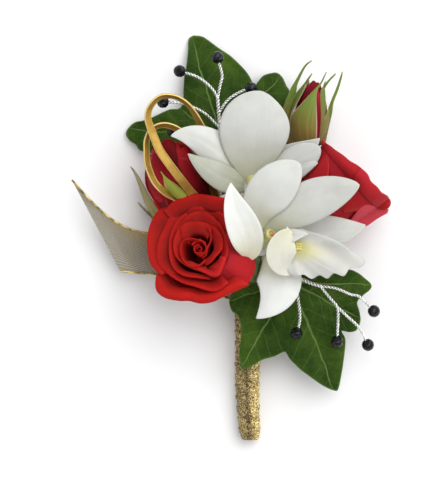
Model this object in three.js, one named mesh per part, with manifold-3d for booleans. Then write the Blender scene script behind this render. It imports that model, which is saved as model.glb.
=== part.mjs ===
// Boutonniere: two white orchids, three red roses and a rosebud, two ivy leaves, two sprays of
// beaded silver wire, two flat gold loops and a ribbon tail on a gold wrapped handle.
// Millimetres. The bunch lies on its back on the surface z = 0: +Y runs from the handle's cut end
// to the blooms, +X to the right of a viewer looking down, +Z up towards that viewer.
import * as THREE from "three";
import { mergeVertices } from "three/addons/utils/BufferGeometryUtils.js";
import Module from "manifold-3d";

const wasm = await Module();
wasm.setup();

// Driving dimensions
const GAP = 0.3; // clearance between neighbouring pieces
const PETAL_THICKNESS = 0.75;
const TEPAL_THICKNESS = 0.8;
const LEAF_THICKNESS = 0.7;
const RIBBON_THICKNESS = 0.6;
const STRAP_WIDTH = 2.6;
const STRAP_THICKNESS = 0.7;
const WIRE_RADIUS = 0.5;
const WIRE_TIP_RADIUS = 0.38;
const BEAD_RADIUS = 1.95;
const BUNDLE_RADIUS = 2.1;
const BRANCH_RADIUS = 1.1;
const HANDLE_HALF_WIDTH = 3.75;
const HANDLE_HALF_HEIGHT = 3.1;
const HANDLE_BOTTOM = -63.6;
const HANDLE_TOP = -21;
const HANDLE_AXIS = [4.9, 4.2]; // x of the handle's middle at its bottom and at its top
const HANDLE_END = 0.78; // how far the cut end is rounded off
const HANDLE_END_LENGTH = 0.04; // share of the handle's length that is rounded off
const WRAP_PITCH = 3.4;
const WRAP_RIDGE = 0.22;
const STEM_GROOVE = 0.12; // depth of the groove between the two stems under the wrap
const SEPAL_THICKNESS = 0.65;
const ORIGIN = [2.3, 0, 0]; // moves the middle of the base to the origin
const UP = [0, 0, 1];
const GOLDEN_ANGLE = 2.39996;

const v3 = (p) => new THREE.Vector3(...p);
const mix = (a, b, t) => a + (b - a) * t;

// A smooth curve through a list of points
const smooth = (path) => new THREE.CatmullRomCurve3(path.map(v3), false, "centripetal");

// Everything below the surface that the bunch lies on
const UNDERGROUND = new THREE.BoxGeometry(400, 400, 20).translate(0, 0, -10);

// A closed geometry as a solid
function toSolid(geometry) {
  const bare = geometry.index ? geometry.toNonIndexed() : geometry;
  bare.deleteAttribute("normal");
  bare.deleteAttribute("uv");
  const merged = mergeVertices(bare, 1e-4);
  const solid = new wasm.Manifold(
    new wasm.Mesh({
      numProp: 3,
      vertProperties: merged.attributes.position.array,
      triVerts: new Uint32Array(merged.index.array),
    }),
  );
  if (solid.volume() >= 0) return solid;
  const index = merged.index.array;
  for (let i = 0; i < index.length; i += 3) {
    [index[i + 1], index[i + 2]] = [index[i + 2], index[i + 1]];
  }
  return toSolid(merged);
}

const join = (solids) => solids.reduce((all, one) => all.add(one));

// The largest connected body of a solid: slivers that a cut leaves loose are dropped
function mainBody(solid) {
  const bodies = solid.decompose();
  return bodies.reduce((most, one) => (one.volume() > most.volume() ? one : most));
}

// A geometry from a list of points and a list of triangles
function fromTriangles(points, triangles) {
  const geometry = new THREE.BufferGeometry();
  const numbers = points.flatMap((p) => p.toArray());
  geometry.setAttribute("position", new THREE.Float32BufferAttribute(numbers, 3));
  geometry.setIndex(triangles.flat());
  return geometry;
}

// A grid of points, rows along the piece and columns across it, thickened to both sides into a
// closed sheet; grow also widens it all round
function thicken(grid, thickness, grow) {
  const rows = grid.length;
  const columns = grid[0].length;
  const step = (i, j, di, dj) => {
    const a = grid[Math.min(rows - 1, i + di)][Math.min(columns - 1, j + dj)];
    const b = grid[Math.max(0, i - di)][Math.max(0, j - dj)];
    return a.clone().sub(b);
  };
  const top = [];
  const bottom = [];
  for (let i = 0; i < rows; i++) {
    for (let j = 0; j < columns; j++) {
      const along = step(i, j, 1, 0);
      const across = step(i, j, 0, 1);
      const normal = along.clone().cross(across).normalize();
      const middle = grid[i][j].clone();
      along.normalize();
      across.normalize();
      if (i === 0) middle.addScaledVector(along, -grow);
      if (i === rows - 1) middle.addScaledVector(along, grow);
      if (j === 0) middle.addScaledVector(across, -grow);
      if (j === columns - 1) middle.addScaledVector(across, grow);
      top.push(middle.clone().addScaledVector(normal, thickness / 2 + grow));
      bottom.push(middle.clone().addScaledVector(normal, -thickness / 2 - grow));
    }
  }
  const half = top.length;
  const at = (i, j) => i * columns + j;
  const triangles = [];
  for (let i = 0; i < rows - 1; i++) {
    for (let j = 0; j < columns - 1; j++) {
      const [a, b, c, d] = [at(i, j), at(i + 1, j), at(i + 1, j + 1), at(i, j + 1)];
      triangles.push([a, b, c], [a, c, d]);
      triangles.push([half + a, half + c, half + b], [half + a, half + d, half + c]);
    }
  }
  const edge = [];
  for (let i = 0; i < rows - 1; i++) edge.push(at(i, 0));
  for (let j = 0; j < columns - 1; j++) edge.push(at(rows - 1, j));
  for (let i = rows - 1; i > 0; i--) edge.push(at(i, columns - 1));
  for (let j = columns - 1; j > 0; j--) edge.push(at(0, j));
  edge.forEach((a, k) => {
    const b = edge[(k + 1) % edge.length];
    triangles.push([a, half + a, half + b], [a, half + b, b]);
  });
  return toSolid(fromTriangles(top.concat(bottom), triangles));
}

// How wide a blade is along its length, from its base at 0 to its tip at 1
const shapes = {
  lens: (u) => Math.max(mix(0.3, 0.1, u), Math.sin(Math.PI * Math.pow(u, 0.85)) ** 0.8),
  broad: (u) => Math.max(0.3, Math.sin(Math.PI * Math.pow(u, 1.35)) ** 0.55),
  lance: (u) => Math.max(0.1, (1 - u) ** 0.75 * Math.min(1, 0.6 + 2 * u)),
  petal: (u) => mix(0.75, 1, Math.sin(Math.PI * Math.min(1, u * 0.7))),
};

// A petal, tepal or sepal: a cubic spine from base to tip and a width across it. roll turns the
// blade about its spine, cup lifts both edges, ruffle waves them.
function blade(b, grow = 0) {
  const spine = new THREE.CubicBezierCurve3(...b.spine.map(v3));
  const rows = b.rows ?? 5;
  const columns = b.columns ?? 4;
  const shape = shapes[b.shape ?? "lens"];
  const [rollStart, rollEnd] = b.roll ?? [0, 0];
  const grid = [];
  for (let i = 0; i <= rows; i++) {
    const u = i / rows;
    const tangent = spine.getTangent(u);
    const side = v3(UP).cross(tangent).normalize();
    side.applyAxisAngle(tangent, THREE.MathUtils.degToRad(mix(rollStart, rollEnd, u)));
    const normal = tangent.clone().cross(side);
    const half = (b.width / 2) * shape(u);
    const row = [];
    for (let j = 0; j <= columns; j++) {
      const v = (2 * j) / columns - 1;
      const wave = (b.ruffle ?? 0) * Math.sin(2 * Math.PI * (b.waves ?? 0) * u + v) * v * v;
      const lift = (b.cup ?? 0) * shape(u) * v * v + wave;
      row.push(spine.getPoint(u).addScaledVector(side, half * v).addScaledVector(normal, lift));
    }
    grid.push(row);
  }
  return thicken(grid, b.thickness ?? TEPAL_THICKNESS, grow);
}

// A point moved a little further out of a path's end
const beyond = (end, before, distance) =>
  v3(end).add(v3(end).sub(v3(before)).setLength(distance)).toArray();

// A round rod along a smooth path
function rod(path, radius, grow = 0, sides = 6) {
  const last = path.length - 1;
  const grown = path.map((point, k) => {
    if (k === 0) return beyond(point, path[1], grow);
    return k === last ? beyond(point, path[last - 1], grow) : point;
  });
  const curve = smooth(grown);
  const section = new THREE.Shape();
  const corner = (radius + grow) / Math.cos(Math.PI / sides / 2);
  for (let k = 0; k < sides; k++) {
    const angle = (2 * Math.PI * k) / sides;
    const [x, y] = [corner * Math.cos(angle), corner * Math.sin(angle)];
    if (k === 0) section.moveTo(x, y);
    else section.lineTo(x, y);
  }
  return toSolid(new THREE.ExtrudeGeometry(section, { steps: last, extrudePath: curve }));
}

// A solid of revolution about the axis from one point towards another
function turned(profile, from, to, sides, grow = 0) {
  const grown = profile.map(([r, h], k) => {
    const end = k === 0 ? -grow : k === profile.length - 1 ? grow : 0;
    return new THREE.Vector2(r === 0 ? 0 : r + grow, h + end);
  });
  const lathe = new THREE.LatheGeometry(grown, sides);
  lathe.rotateX(Math.PI / 2);
  return toSolid(lathe.applyMatrix4(axisFrame(from, to)));
}

// The frame at a bloom's base with its third axis along the bloom
function axisFrame(from, to) {
  const axis = v3(to).sub(v3(from)).normalize();
  const helper = Math.abs(axis.z) > 0.9 ? new THREE.Vector3(0, 1, 0) : v3(UP);
  const across = helper.cross(axis).normalize();
  const third = axis.clone().cross(across);
  return new THREE.Matrix4().makeBasis(across, third, axis).setPosition(v3(from));
}

// A strip of a surface of revolution about a bloom's axis, such as a rose petal or a sepal that
// hugs its bud. drop lowers the corners of its upper edge.
function wrapped(p, frame, grow) {
  const profile = smooth(p.profile.map(([r, h]) => [r, 0, h]));
  const shape = shapes[p.shape ?? "petal"];
  const grid = [];
  for (let i = 0; i <= p.rows; i++) {
    const u = i / p.rows;
    const point = profile.getPoint(u);
    const half = Math.max(p.half * shape(u), 0.45 / point.x);
    const row = [];
    for (let j = 0; j <= p.columns; j++) {
      const v = (2 * j) / p.columns - 1;
      const angle = p.angle + v * half;
      const height = point.z - (p.drop ?? 0) * u * u * v * v;
      const place = new THREE.Vector3(point.x * Math.cos(angle), point.x * Math.sin(angle), height);
      row.push(place.applyMatrix4(frame));
    }
    grid.push(row);
  }
  return thicken(grid, p.thickness ?? PETAL_THICKNESS, grow);
}

// The petals of a rose round a core, each further out than the one before, with a rolled rim
function rosePetals(r, grow = 0) {
  const frame = axisFrame(r.base, r.tip);
  const petals = [];
  for (let k = 0; k < r.petals; k++) {
    const t = k / (r.petals - 1);
    const root = mix(1.2, 2.6, t);
    const rim = mix(r.rim[0], r.rim[1], Math.sin((Math.PI / 2) * t));
    const belly = rim * mix(1, r.belly, t);
    const height = mix(r.height[0], r.height[1], t);
    const roll = mix(r.roll[0], r.roll[1], t * t);
    const profile = [
      [root, 0],
      [mix(root, belly, 0.65), 0.16 * height],
      [belly, 0.5 * height],
      [rim, 0.92 * height],
      [rim + 0.9 * roll, height],
      [rim + 1.7 * roll, height - 0.7 * roll],
    ];
    const half = mix(r.half[0], r.half[1], t);
    const drop = mix(r.drop[0], r.drop[1], t);
    const angle = r.turn + k * GOLDEN_ANGLE;
    petals.push(wrapped({ profile, half, drop, angle, rows: 4, columns: 4 }, frame, grow));
  }
  return join([turned(r.core, r.base, r.tip, 9, grow), ...petals]);
}

// The green cup under a rose with its sepals: free ones along a spine, and ones that hug the bud
function calyx(c, grow = 0) {
  const frame = axisFrame(c.bottom, c.top);
  const common = { shape: "lance", rows: 5, columns: 2, thickness: SEPAL_THICKNESS };
  const free = (c.sepals ?? []).map((s) => blade({ ...common, ...s }, grow));
  const hugging = c.hugging.map((s) => wrapped({ ...common, ...s }, frame, grow));
  return join([turned(c.cup, c.bottom, c.top, 8, grow), ...free, ...hugging]);
}

// A lobed leaf: rings from the stalk's point out to a smooth outline, with the veins pressed in
function leaf(l, grow = 0) {
  const around = l.outline.length;
  const rings = 3;
  const base = new THREE.Vector3(l.base[0], l.base[1], 0);
  const rim = l.outline.map(([x, y]) => new THREE.Vector3(x, y, 0));
  const height = (x, y) => {
    const away = Math.hypot(x - base.x, y - base.y);
    const bearing = Math.atan2(y - base.y, x - base.x);
    const fromVeins = l.veins.map((vein) => {
      const turn = THREE.MathUtils.euclideanModulo(bearing - vein + Math.PI, 2 * Math.PI);
      return Math.abs(turn - Math.PI);
    });
    const nearest = Math.min(...fromVeins);
    const ridge = l.relief * Math.min(1, (away * nearest) / 4);
    return l.base[2] + ridge + l.surface(x - base.x, y - base.y);
  };
  const top = [];
  const bottom = [];
  const put = (x, y) => {
    const z = height(x, y);
    top.push(new THREE.Vector3(x, y, z + LEAF_THICKNESS / 2 + grow));
    bottom.push(new THREE.Vector3(x, y, z - LEAF_THICKNESS / 2 - grow));
  };
  put(base.x, base.y);
  for (let ring = 1; ring <= rings; ring++) {
    for (const edge of rim) {
      const reach = edge.clone().sub(base);
      const length = reach.length();
      reach.setLength(length * (ring / rings) + (ring === rings ? grow : 0));
      put(base.x + reach.x, base.y + reach.y);
    }
  }
  const half = top.length;
  const at = (ring, k) => 1 + (ring - 1) * around + (k % around);
  const triangles = [];
  const face = (a, b, c) => triangles.push([a, b, c], [half + a, half + c, half + b]);
  for (let k = 0; k < around; k++) {
    face(0, at(1, k), at(1, k + 1));
    for (let ring = 1; ring < rings; ring++) {
      face(at(ring, k), at(ring + 1, k), at(ring + 1, k + 1));
      face(at(ring, k), at(ring + 1, k + 1), at(ring, k + 1));
    }
    const [a, b] = [at(rings, k), at(rings, k + 1)];
    triangles.push([a, half + a, half + b], [a, half + b, b]);
  }
  const blades = toSolid(fromTriangles(top.concat(bottom), triangles));
  return join([blades, rod(l.stalk, l.stalkRadius, grow)]);
}

// A faceted bead on the end of a wire
function bead(at, towards, grow = 0) {
  const r = BEAD_RADIUS;
  const profile = [
    [0, -r],
    [0.78 * r, -0.66 * r],
    [r, 0],
    [0.78 * r, 0.66 * r],
    [0, r],
  ];
  return turned(profile, at, towards, 8, grow);
}

// A flat strap bent along a smooth path, its broad side to the viewer
function strap(path, grow) {
  const curve = smooth(path);
  const count = (path.length - 1) * 2;
  const grid = [];
  for (let i = 0; i <= count; i++) {
    const tangent = curve.getTangent(i / count);
    const side = v3(UP).cross(tangent).normalize();
    const point = curve.getPoint(i / count);
    grid.push([-0.5, 0.5].map((v) => point.clone().addScaledVector(side, STRAP_WIDTH * v)));
  }
  return thicken(grid, STRAP_THICKNESS, grow);
}

// The wrapped handle: two stems side by side under one wrapping, flat where it rests
function handle(grow = 0) {
  const ringCount = Math.round((HANDLE_TOP - HANDLE_BOTTOM) / (WRAP_PITCH / 2));
  const around = 12;
  const points = [];
  const triangles = [];
  const at = (i, k) => i * around + (k % around);
  for (let i = 0; i <= ringCount; i++) {
    const u = i / ringCount;
    const y = mix(HANDLE_BOTTOM - grow, HANDLE_TOP + grow, u);
    const x = mix(...HANDLE_AXIS, u);
    const sunk = i % 2 === 0 ? WRAP_RIDGE : 0;
    const taper = u < HANDLE_END_LENGTH ? HANDLE_END : 1;
    for (let k = 0; k < around; k++) {
      const a = (2 * Math.PI * k) / around;
      const nearMiddle = Math.exp(-((Math.cos(a) / 0.3) ** 2));
      const groove = Math.sin(a) > 0 ? 1 - STEM_GROOVE * nearMiddle : 1;
      const width = (HANDLE_HALF_WIDTH - sunk + grow) * taper;
      const height = (HANDLE_HALF_HEIGHT - sunk + grow) * taper * groove;
      const z = Math.max(-grow, HANDLE_HALF_HEIGHT + height * Math.sin(a));
      const flat = a > Math.PI * 1.2 && a < Math.PI * 1.8;
      points.push(new THREE.Vector3(x + width * Math.cos(a), y, flat ? -grow : z));
    }
  }
  for (let i = 0; i < ringCount; i++) {
    for (let k = 0; k < around; k++) {
      triangles.push([at(i, k), at(i, k + 1), at(i + 1, k + 1)]);
      triangles.push([at(i, k), at(i + 1, k + 1), at(i + 1, k)]);
    }
  }
  for (let k = 1; k < around - 1; k++) {
    triangles.push([at(0, 0), at(0, k + 1), at(0, k)]);
    triangles.push([at(ringCount, 0), at(ringCount, k), at(ringCount, k + 1)]);
  }
  return toSolid(fromTriangles(points, triangles));
}

// Where things are
const openRose = {
  base: [-6.8, -9.8, 9.4],
  tip: [-11.4, -2.8, 27.8],
  petals: 9,
  turn: 0.6,
  half: [1.2, 1.25],
  rim: [1.6, 15],
  belly: 0.98,
  height: [20, 14.5],
  roll: [0.4, 1.2],
  drop: [0.6, 1.2],
  core: [[0, -0.6], [2.4, -0.5], [5.4, 3], [5.2, 8], [3.2, 12], [1.4, 15], [0, 15.6]],
};
const sideRose = {
  base: [-12.8, 4.9, 6.8],
  tip: [-20.7, 29.2, 12.2],
  petals: 6,
  turn: 0.36,
  half: [1.3, 1.35],
  rim: [1.8, 8],
  belly: 1.18,
  height: [25, 23],
  roll: [0.2, 0.7],
  drop: [0.6, 3.4],
  core: [[0, -0.6], [2.4, -0.5], [5, 3], [6.2, 9], [5.4, 14], [3, 18], [0, 19.5]],
};
const rightRose = {
  base: [23.1, 5.9, 11.4],
  tip: [37.8, 20.1, 13.8],
  petals: 6,
  turn: 1.4,
  half: [1.25, 1.4],
  rim: [2.6, 13],
  belly: 0.94,
  height: [21, 19.4],
  roll: [0.4, 1.5],
  drop: [0.6, 1.6],
  core: [[0, -0.6], [2.4, -0.5], [5.4, 4], [5.6, 9], [4, 14], [1.6, 17], [0, 17.6]],
};
const bud = {
  base: [22.3, 29.3, 10.5],
  tip: [25.2, 48.2, 12.5],
  bloom: [[0, 0.2], [2.6, 0.4], [4.6, 4], [5.2, 8.5], [4.2, 13.5], [2, 17.5], [0, 19.4]],
};

// Five sepals folded back under a bloom
const foldedSepals = (profile) =>
  [0, 1, 2, 3, 4].map((k) => ({ profile, angle: (2 * Math.PI * k) / 5 + 0.4, half: 0.5, rows: 4 }));

// The paths of the two beaded sprays: a stem with its side wires
const upperSpray = {
  stem: [[3.2, -13, 6.5], [2, -2, 8], [-1, 12, 10.5], [-4, 28, 12.5], [-4.6, 36.4, 12.5], [-5.1, 43.5, 12.5]],
  sides: [
    [[-5.1, 43.2, 12.5], [-6.5, 45.7, 12.5], [-9, 48.2, 12.5], [-12.1, 50.1, 12], [-16.9, 51.6, 12]],
    [[-5.1, 43.2, 12.5], [-4.3, 47.2, 13], [-3.7, 50.3, 13], [-5.1, 55.8, 13]],
    [[-4.6, 34, 12.5], [-8.4, 37.9, 12.5], [-12.1, 40.1, 12.5], [-16.8, 41.7, 12], [-22.1, 42, 12]],
    [[-4.8, 38.5, 12.5], [-1.9, 42.6, 12], [1.9, 45.1, 12], [5.3, 46.3, 12]],
    [[-4.4, 32, 12.5], [-10.5, 34.1, 14], [-15.2, 33.5, 15], [-18.9, 32.9, 15]],
  ],
};
const lowerSpray = {
  stem: [
    [6, -15, 6.4], [10.6, -12.1, 8], [14.9, -9.6, 13.5],
    [19.2, -12.1, 16.5], [23.5, -14.2, 17], [26.9, -15.2, 17],
  ],
  sides: [
    [[26.7, -15.2, 17], [31.2, -15.8, 17], [35.9, -17.7, 16], [39, -18.6, 15.5], [43.4, -23, 14]],
    [[26.7, -15.2, 17], [29.7, -18.9, 17], [31.9, -21.7, 16.5], [32.2, -25.7, 16], [31.9, -32.5, 15]],
    [[31.8, -21.5, 16.5], [35.3, -24.8, 16], [38.8, -28.2, 15], [41.6, -33.5, 13]],
    [[16, -10.6, 14.6], [19, -15.4, 16.6], [20.1, -21.1, 16.5], [20.4, -25.7, 15.5], [19.4, -29.8, 15]],
  ],
};

// The stems that leave the bundle: three roses, the small bud and the two orchids
const branches = [
  [[4.3, -22, 4.4], [0.5, -17, 3.2], [-3.6, -13.6, 2.6], [-5.4, -11.6, 4.2], [-6.1, -10.6, 6.4]],
  [[4.3, -21, 4.6], [0, -13, 3.4], [-6, -6, 2.6], [-10.3, -2.6, 4.6], [-11.9, 2, 6.2]],
  [[4.3, -19, 4.8], [8, -10, 5], [14, -3, 7], [18.7, 1.6, 9.1], [20.6, 3.5, 9.7]],
  [[5.6, -14, 5], [9, -2, 6], [15, 12, 7.4], [20, 21.5, 9.3], [21.6, 26.8, 10.2]],
  [[4.3, -18, 4.9], [5, -6, 7], [5.2, 6, 9.6], [5.4, 13, 13.4], [5.8, 15.4, 16.4]],
  [[4.3, -19, 4.9], [5.6, -14.5, 9], [6.4, -9.6, 15.4], [7.6, -4.6, 20.4]],
];

const spray = (s, grow) =>
  join([rod(s.stem, WIRE_RADIUS, grow, 5), ...s.sides.map((side) => rod(side, WIRE_TIP_RADIUS, grow, 5))]);

// The lip of the lower orchid: a long middle lobe and an upright lobe on each side
const lipLobes = [
  {
    spine: [[10.2, -4.6, 24], [17, -3.4, 22.6], [28, -6.6, 26], [40.5, -7.7, 25]],
    width: 12,
    cup: 1.6,
    rows: 7,
  },
  {
    spine: [[10.6, -5.4, 24], [14, -8, 24.4], [18, -10.4, 25], [22.6, -12, 26.6]],
    width: 9,
    ruffle: 0.6,
    waves: 1.5,
    cup: 0.6,
  },
  { spine: [[11, -4, 24], [13.6, -1, 25.6], [17, 1, 27.4], [22, -0.4, 28]], width: 7, roll: [-30, -50] },
];

// The white blades of each orchid round a small cushion
const lowerOrchid = {
  cushion: [[0, -1.6], [2.8, -1.4], [3.6, 0.4], [2.4, 1.8], [0, 2]],
  from: [7.6, -2.6, 19.8],
  to: [9.2, 0.4, 24],
  tepals: [
    { spine: [[6.6, -4.4, 21], [5.4, -1, 28.4], [-0.7, 6.6, 33.6], [-1, 16.4, 32.6]], width: 10.5, cup: 1.2 },
    {
      spine: [[7.3, -0.6, 21], [4.8, 9.7, 28], [12, 15.3, 30.6], [20, 22.6, 29]],
      width: 14,
      shape: "broad",
      cup: -1,
    },
    {
      spine: [[9.2, -0.6, 21.4], [15.5, 8.8, 28], [26.7, 12.2, 31], [37.7, 15.8, 31]],
      width: 13.5,
      cup: -1.2,
    },
    {
      spine: [[9.4, -2, 19.6], [18.7, 1.5, 18.6], [31, 0.6, 21.6], [40.4, 3.6, 22.5]],
      width: 12,
      cup: -0.6,
    },
    {
      spine: [[8.4, -4.4, 19.2], [15.3, -10.2, 22.6], [17.8, -19.4, 22.6], [7.1, -25, 19.4]],
      width: 13,
      cup: -1,
    },
  ],
};
const upperOrchid = {
  cushion: [[0, -1.4], [2.6, -1.2], [3.4, 0.4], [2.4, 1.6], [0, 1.8]],
  from: [5.6, 15.8, 15.6],
  to: [6.4, 16, 20],
  tepals: [
    {
      spine: [[6.2, 16.6, 16.4], [4.9, 24.2, 22], [6.1, 35.7, 28], [8.5, 44.7, 25]],
      width: 21.5,
      shape: "broad",
      cup: -1.6,
      columns: 6,
    },
    {
      spine: [[4.6, 16.4, 16.2], [-1.3, 23.7, 18.5], [-9.6, 33.4, 24], [-19.4, 31, 24.6]],
      width: 10.5,
      cup: -1,
    },
    {
      spine: [[4.6, 15.4, 16.2], [0.6, 16.3, 19], [-7.4, 19.9, 24], [-14.2, 25.5, 24.6]],
      width: 8.5,
      cup: -1,
      roll: [0, 20],
    },
    {
      spine: [[7.4, 16.8, 16], [14.2, 23.7, 17], [20.3, 24.3, 19.6], [26.4, 30.4, 20.4]],
      width: 9.5,
      cup: 0.8,
    },
    { spine: [[5.6, 14.6, 15.8], [1.6, 10.6, 16.4], [-2, 9.6, 18], [-6.4, 11.4, 19.4]], width: 8, cup: 0.6 },
  ],
};

const flower = (f, grow) =>
  join([turned(f.cushion, f.from, f.to, 9, grow), ...f.tepals.map((tepal) => blade(tepal, grow))]);

// The ribbon tail's two long margins
const ribbonMargins = [
  [
    [0.6, -20, 0.6], [-6, -17.8, 0.6], [-13, -14.8, 1.6], [-20, -12.4, 3.8],
    [-25, -11.6, 5], [-28.6, -11.4, 5.4], [-32, -11, 5.8], [-35.6, -10.6, 6],
  ],
  [
    [-3.4, -9.6, 0.6], [-10, -3.4, 1.4], [-18, 0.6, 5], [-26.2, 1.2, 7.6],
    [-32.4, 2.5, 8.6], [-38.7, 6, 9], [-44.9, 11.6, 9.6], [-50.5, 17.8, 10],
  ],
];

// The ribbon tail between its margins, with a shallow wave across it
function ribbon(grow) {
  const [lower, upper] = ribbonMargins.map(smooth);
  const rows = 12;
  const columns = 3;
  const grid = [];
  for (let i = 0; i <= rows; i++) {
    const u = i / rows;
    const row = [];
    for (let j = 0; j <= columns; j++) {
      const v = j / columns;
      const point = lower.getPoint(u).lerp(upper.getPoint(u), v);
      point.z += 0.6 * Math.sin(9 * u + 2 * v) * Math.sin(Math.PI * v);
      row.push(point);
    }
    grid.push(row);
  }
  return thicken(grid, RIBBON_THICKNESS, grow);
}

const pieces = [
  {
    name: "upper_spray_wire",
    colour: 0xb9bcc2,
    metalness: 0.9,
    roughness: 0.35,
    make: (grow) => spray(upperSpray, grow),
  },
  {
    name: "lower_spray_wire",
    colour: 0xb9bcc2,
    metalness: 0.9,
    roughness: 0.35,
    make: (grow) => spray(lowerSpray, grow),
  },
  ...[
    ["upper_bead_1", [-16.9, 51.6, 12], [-20, 52.5, 12]],
    ["upper_bead_2", [-5.1, 55.8, 13], [-5.9, 59, 13]],
    ["upper_bead_3", [-22.1, 42, 12], [-26, 42, 12]],
    ["upper_bead_4", [5.3, 46.3, 12], [8, 47, 12]],
    ["upper_bead_5", [-18.9, 32.9, 15], [-22, 32.4, 15]],
    ["lower_bead_1", [43.4, -23, 14], [45, -25, 13.6]],
    ["lower_bead_2", [31.9, -32.5, 15], [31.8, -34, 14.8]],
    ["lower_bead_3", [41.6, -33.5, 13], [42.6, -35.5, 12.6]],
    ["lower_bead_4", [19.4, -29.8, 15], [19, -32, 14.8]],
  ].map(([name, at, towards]) => ({
    name,
    colour: 0x14161c,
    metalness: 0.1,
    roughness: 0.15,
    make: (grow) => bead(at, towards, grow),
  })),
  {
    name: "taped_stems",
    colour: 0x5d7a3a,
    metalness: 0,
    roughness: 0.7,
    make: (grow) =>
      join([
        rod([[4.8, -60, 3.1], [4.4, -45, 3.1], [4.3, -30, 3.6], [4.3, -18, 4.9]], BUNDLE_RADIUS, grow, 9),
        ...branches.map((branch) => rod(branch, BRANCH_RADIUS, grow)),
      ]),
  },
  { name: "stem_wrap", colour: 0xb08a45, metalness: 0.7, roughness: 0.4, make: (grow) => handle(grow) },
  {
    name: "gold_loop_outer",
    colour: 0xc79a45,
    metalness: 0.9,
    roughness: 0.3,
    make: (grow) =>
      strap(
        [
          [-2.6, 4.6, 8.4], [-5.2, 10.4, 14], [-9.4, 14.4, 19.6], [-15.1, 18.5, 23.5], [-19.7, 23.6, 24.5],
          [-22.8, 28.2, 24.5], [-25.2, 32.8, 24], [-26.5, 36.6, 23], [-25.9, 39.7, 22], [-23.7, 42.5, 21],
          [-21, 43.5, 20], [-17.3, 42.9, 19], [-14.2, 40.8, 18], [-12.1, 38, 17], [-9.9, 34, 16],
          [-5.9, 26, 13], [-2.6, 14, 10], [-0.6, 4, 8.2],
        ],
        grow,
      ),
  },
  {
    name: "gold_loop_inner",
    colour: 0xc79a45,
    metalness: 0.9,
    roughness: 0.3,
    make: (grow) =>
      strap(
        [
          [-4.2, 4.6, 8], [-7.4, 10.6, 13.6], [-11.8, 12.9, 18.8], [-15.8, 13, 21], [-19.7, 14.6, 22.2],
          [-23.4, 17.2, 23], [-26.5, 21.2, 23], [-27.7, 25.2, 22.5], [-27.7, 28.9, 22], [-26.2, 32, 21.5],
          [-24.1, 33.9, 21], [-21.3, 34.5, 20.5], [-18.2, 33.6, 20], [-15.4, 31.5, 19.5], [-13, 28.4, 18.5],
          [-11.1, 25, 16.5], [-7.4, 18, 13], [-4, 7, 9.4],
        ],
        grow,
      ),
  },
  {
    name: "open_rose_calyx",
    colour: 0x4f7a35,
    metalness: 0,
    roughness: 0.6,
    make: (grow) =>
      calyx(
        {
          cup: [[0, -5.2], [1.9, -5.2], [3.2, -3.4], [3.2, -1.6], [2.6, -0.9], [0, -0.9]],
          bottom: openRose.base,
          top: openRose.tip,
          hugging: foldedSepals([[2.6, -1.9], [5, -1.6], [7.6, -0.6], [9.6, 1]]),
        },
        grow,
      ),
  },
  {
    name: "side_rose_calyx",
    colour: 0x6f9a45,
    metalness: 0,
    roughness: 0.6,
    make: (grow) =>
      calyx(
        {
          cup: [[0, -5.4], [1.9, -5.4], [3.3, -3.4], [3.3, -1.6], [2.6, -0.9], [0, -0.9]],
          bottom: sideRose.base,
          top: sideRose.tip,
          hugging: [
            { angle: 1.35, half: 0.4, profile: [[2.8, -1.6], [6.6, 1.6], [9.4, 5], [10.9, 9.6], [10.4, 15]] },
            { angle: 4.6, half: 0.4, profile: [[2.8, -1.6], [5.2, 1.2], [6.4, 2.8], [7.4, 5], [8, 8]] },
          ],
          sepals: [
            { spine: [[-14.6, 3.4, 7.4], [-24, 3.6, 8], [-29.6, 9, 8.5], [-31.8, 21.5, 9.5]], width: 3 },
            { spine: [[-14.4, 2.6, 6], [-21, 2.4, 5.4], [-26.4, 4.8, 5.2], [-29.4, 10.6, 5.8]], width: 2.4 },
          ],
        },
        grow,
      ),
  },
  {
    name: "right_rose_calyx",
    colour: 0x4f7a35,
    metalness: 0,
    roughness: 0.6,
    make: (grow) =>
      calyx(
        {
          cup: [[0, -5.2], [1.9, -5.2], [3.2, -3.4], [3.2, -1.6], [2.6, -0.9], [0, -0.9]],
          bottom: rightRose.base,
          top: rightRose.tip,
          hugging: foldedSepals([[2.6, -1.9], [5, -1.4], [7.6, 0.4], [9.2, 3]]),
        },
        grow,
      ),
  },
  {
    name: "small_bud_calyx",
    colour: 0x7d9a4a,
    metalness: 0,
    roughness: 0.6,
    make: (grow) =>
      calyx(
        {
          cup: [[0, -4.2], [1.8, -4.2], [3.2, -2.6], [3.4, -1], [3, -0.3], [0, -0.3]],
          bottom: bud.base,
          top: bud.tip,
          hugging: [
            {
              angle: 1.5,
              half: 0.72,
              profile: [[3, -1], [5.4, 2.4], [6.1, 7], [5, 12.6], [3.1, 17.4], [2, 21.6]],
            },
            { angle: 0.25, half: 0.55, profile: [[3, -1], [5.6, 2.4], [6.3, 7], [5.4, 13], [4, 18], [3, 22]] },
            {
              angle: 2.75,
              half: 0.5,
              profile: [[3, -1], [5.6, 2.4], [6.4, 7], [5.8, 13], [5.2, 18], [4.2, 23.4]],
            },
            { angle: 3.9, half: 0.5, profile: [[3, -1], [5.8, 2.4], [7, 7], [7.8, 13], [8.6, 18], [8.8, 24]] },
            { angle: 5.3, half: 0.6, profile: [[3, -1], [5.6, 2.4], [6.6, 7], [6.6, 13], [6, 19], [2.4, 26.4]] },
          ],
        },
        grow,
      ),
  },
  {
    name: "upper_orchid_column",
    colour: 0xc9c873,
    metalness: 0,
    roughness: 0.5,
    make: (grow) => {
      const profile = [[0, -2.6], [1.7, -2.4], [2, 0], [1.4, 2.6], [1.7, 4], [0, 4.8]];
      return turned(profile, [6, 16.4, 18.4], [7.4, 12.6, 21.6], 8, grow);
    },
  },
  {
    name: "lower_orchid_column",
    colour: 0xc8c45e,
    metalness: 0,
    roughness: 0.5,
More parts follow.
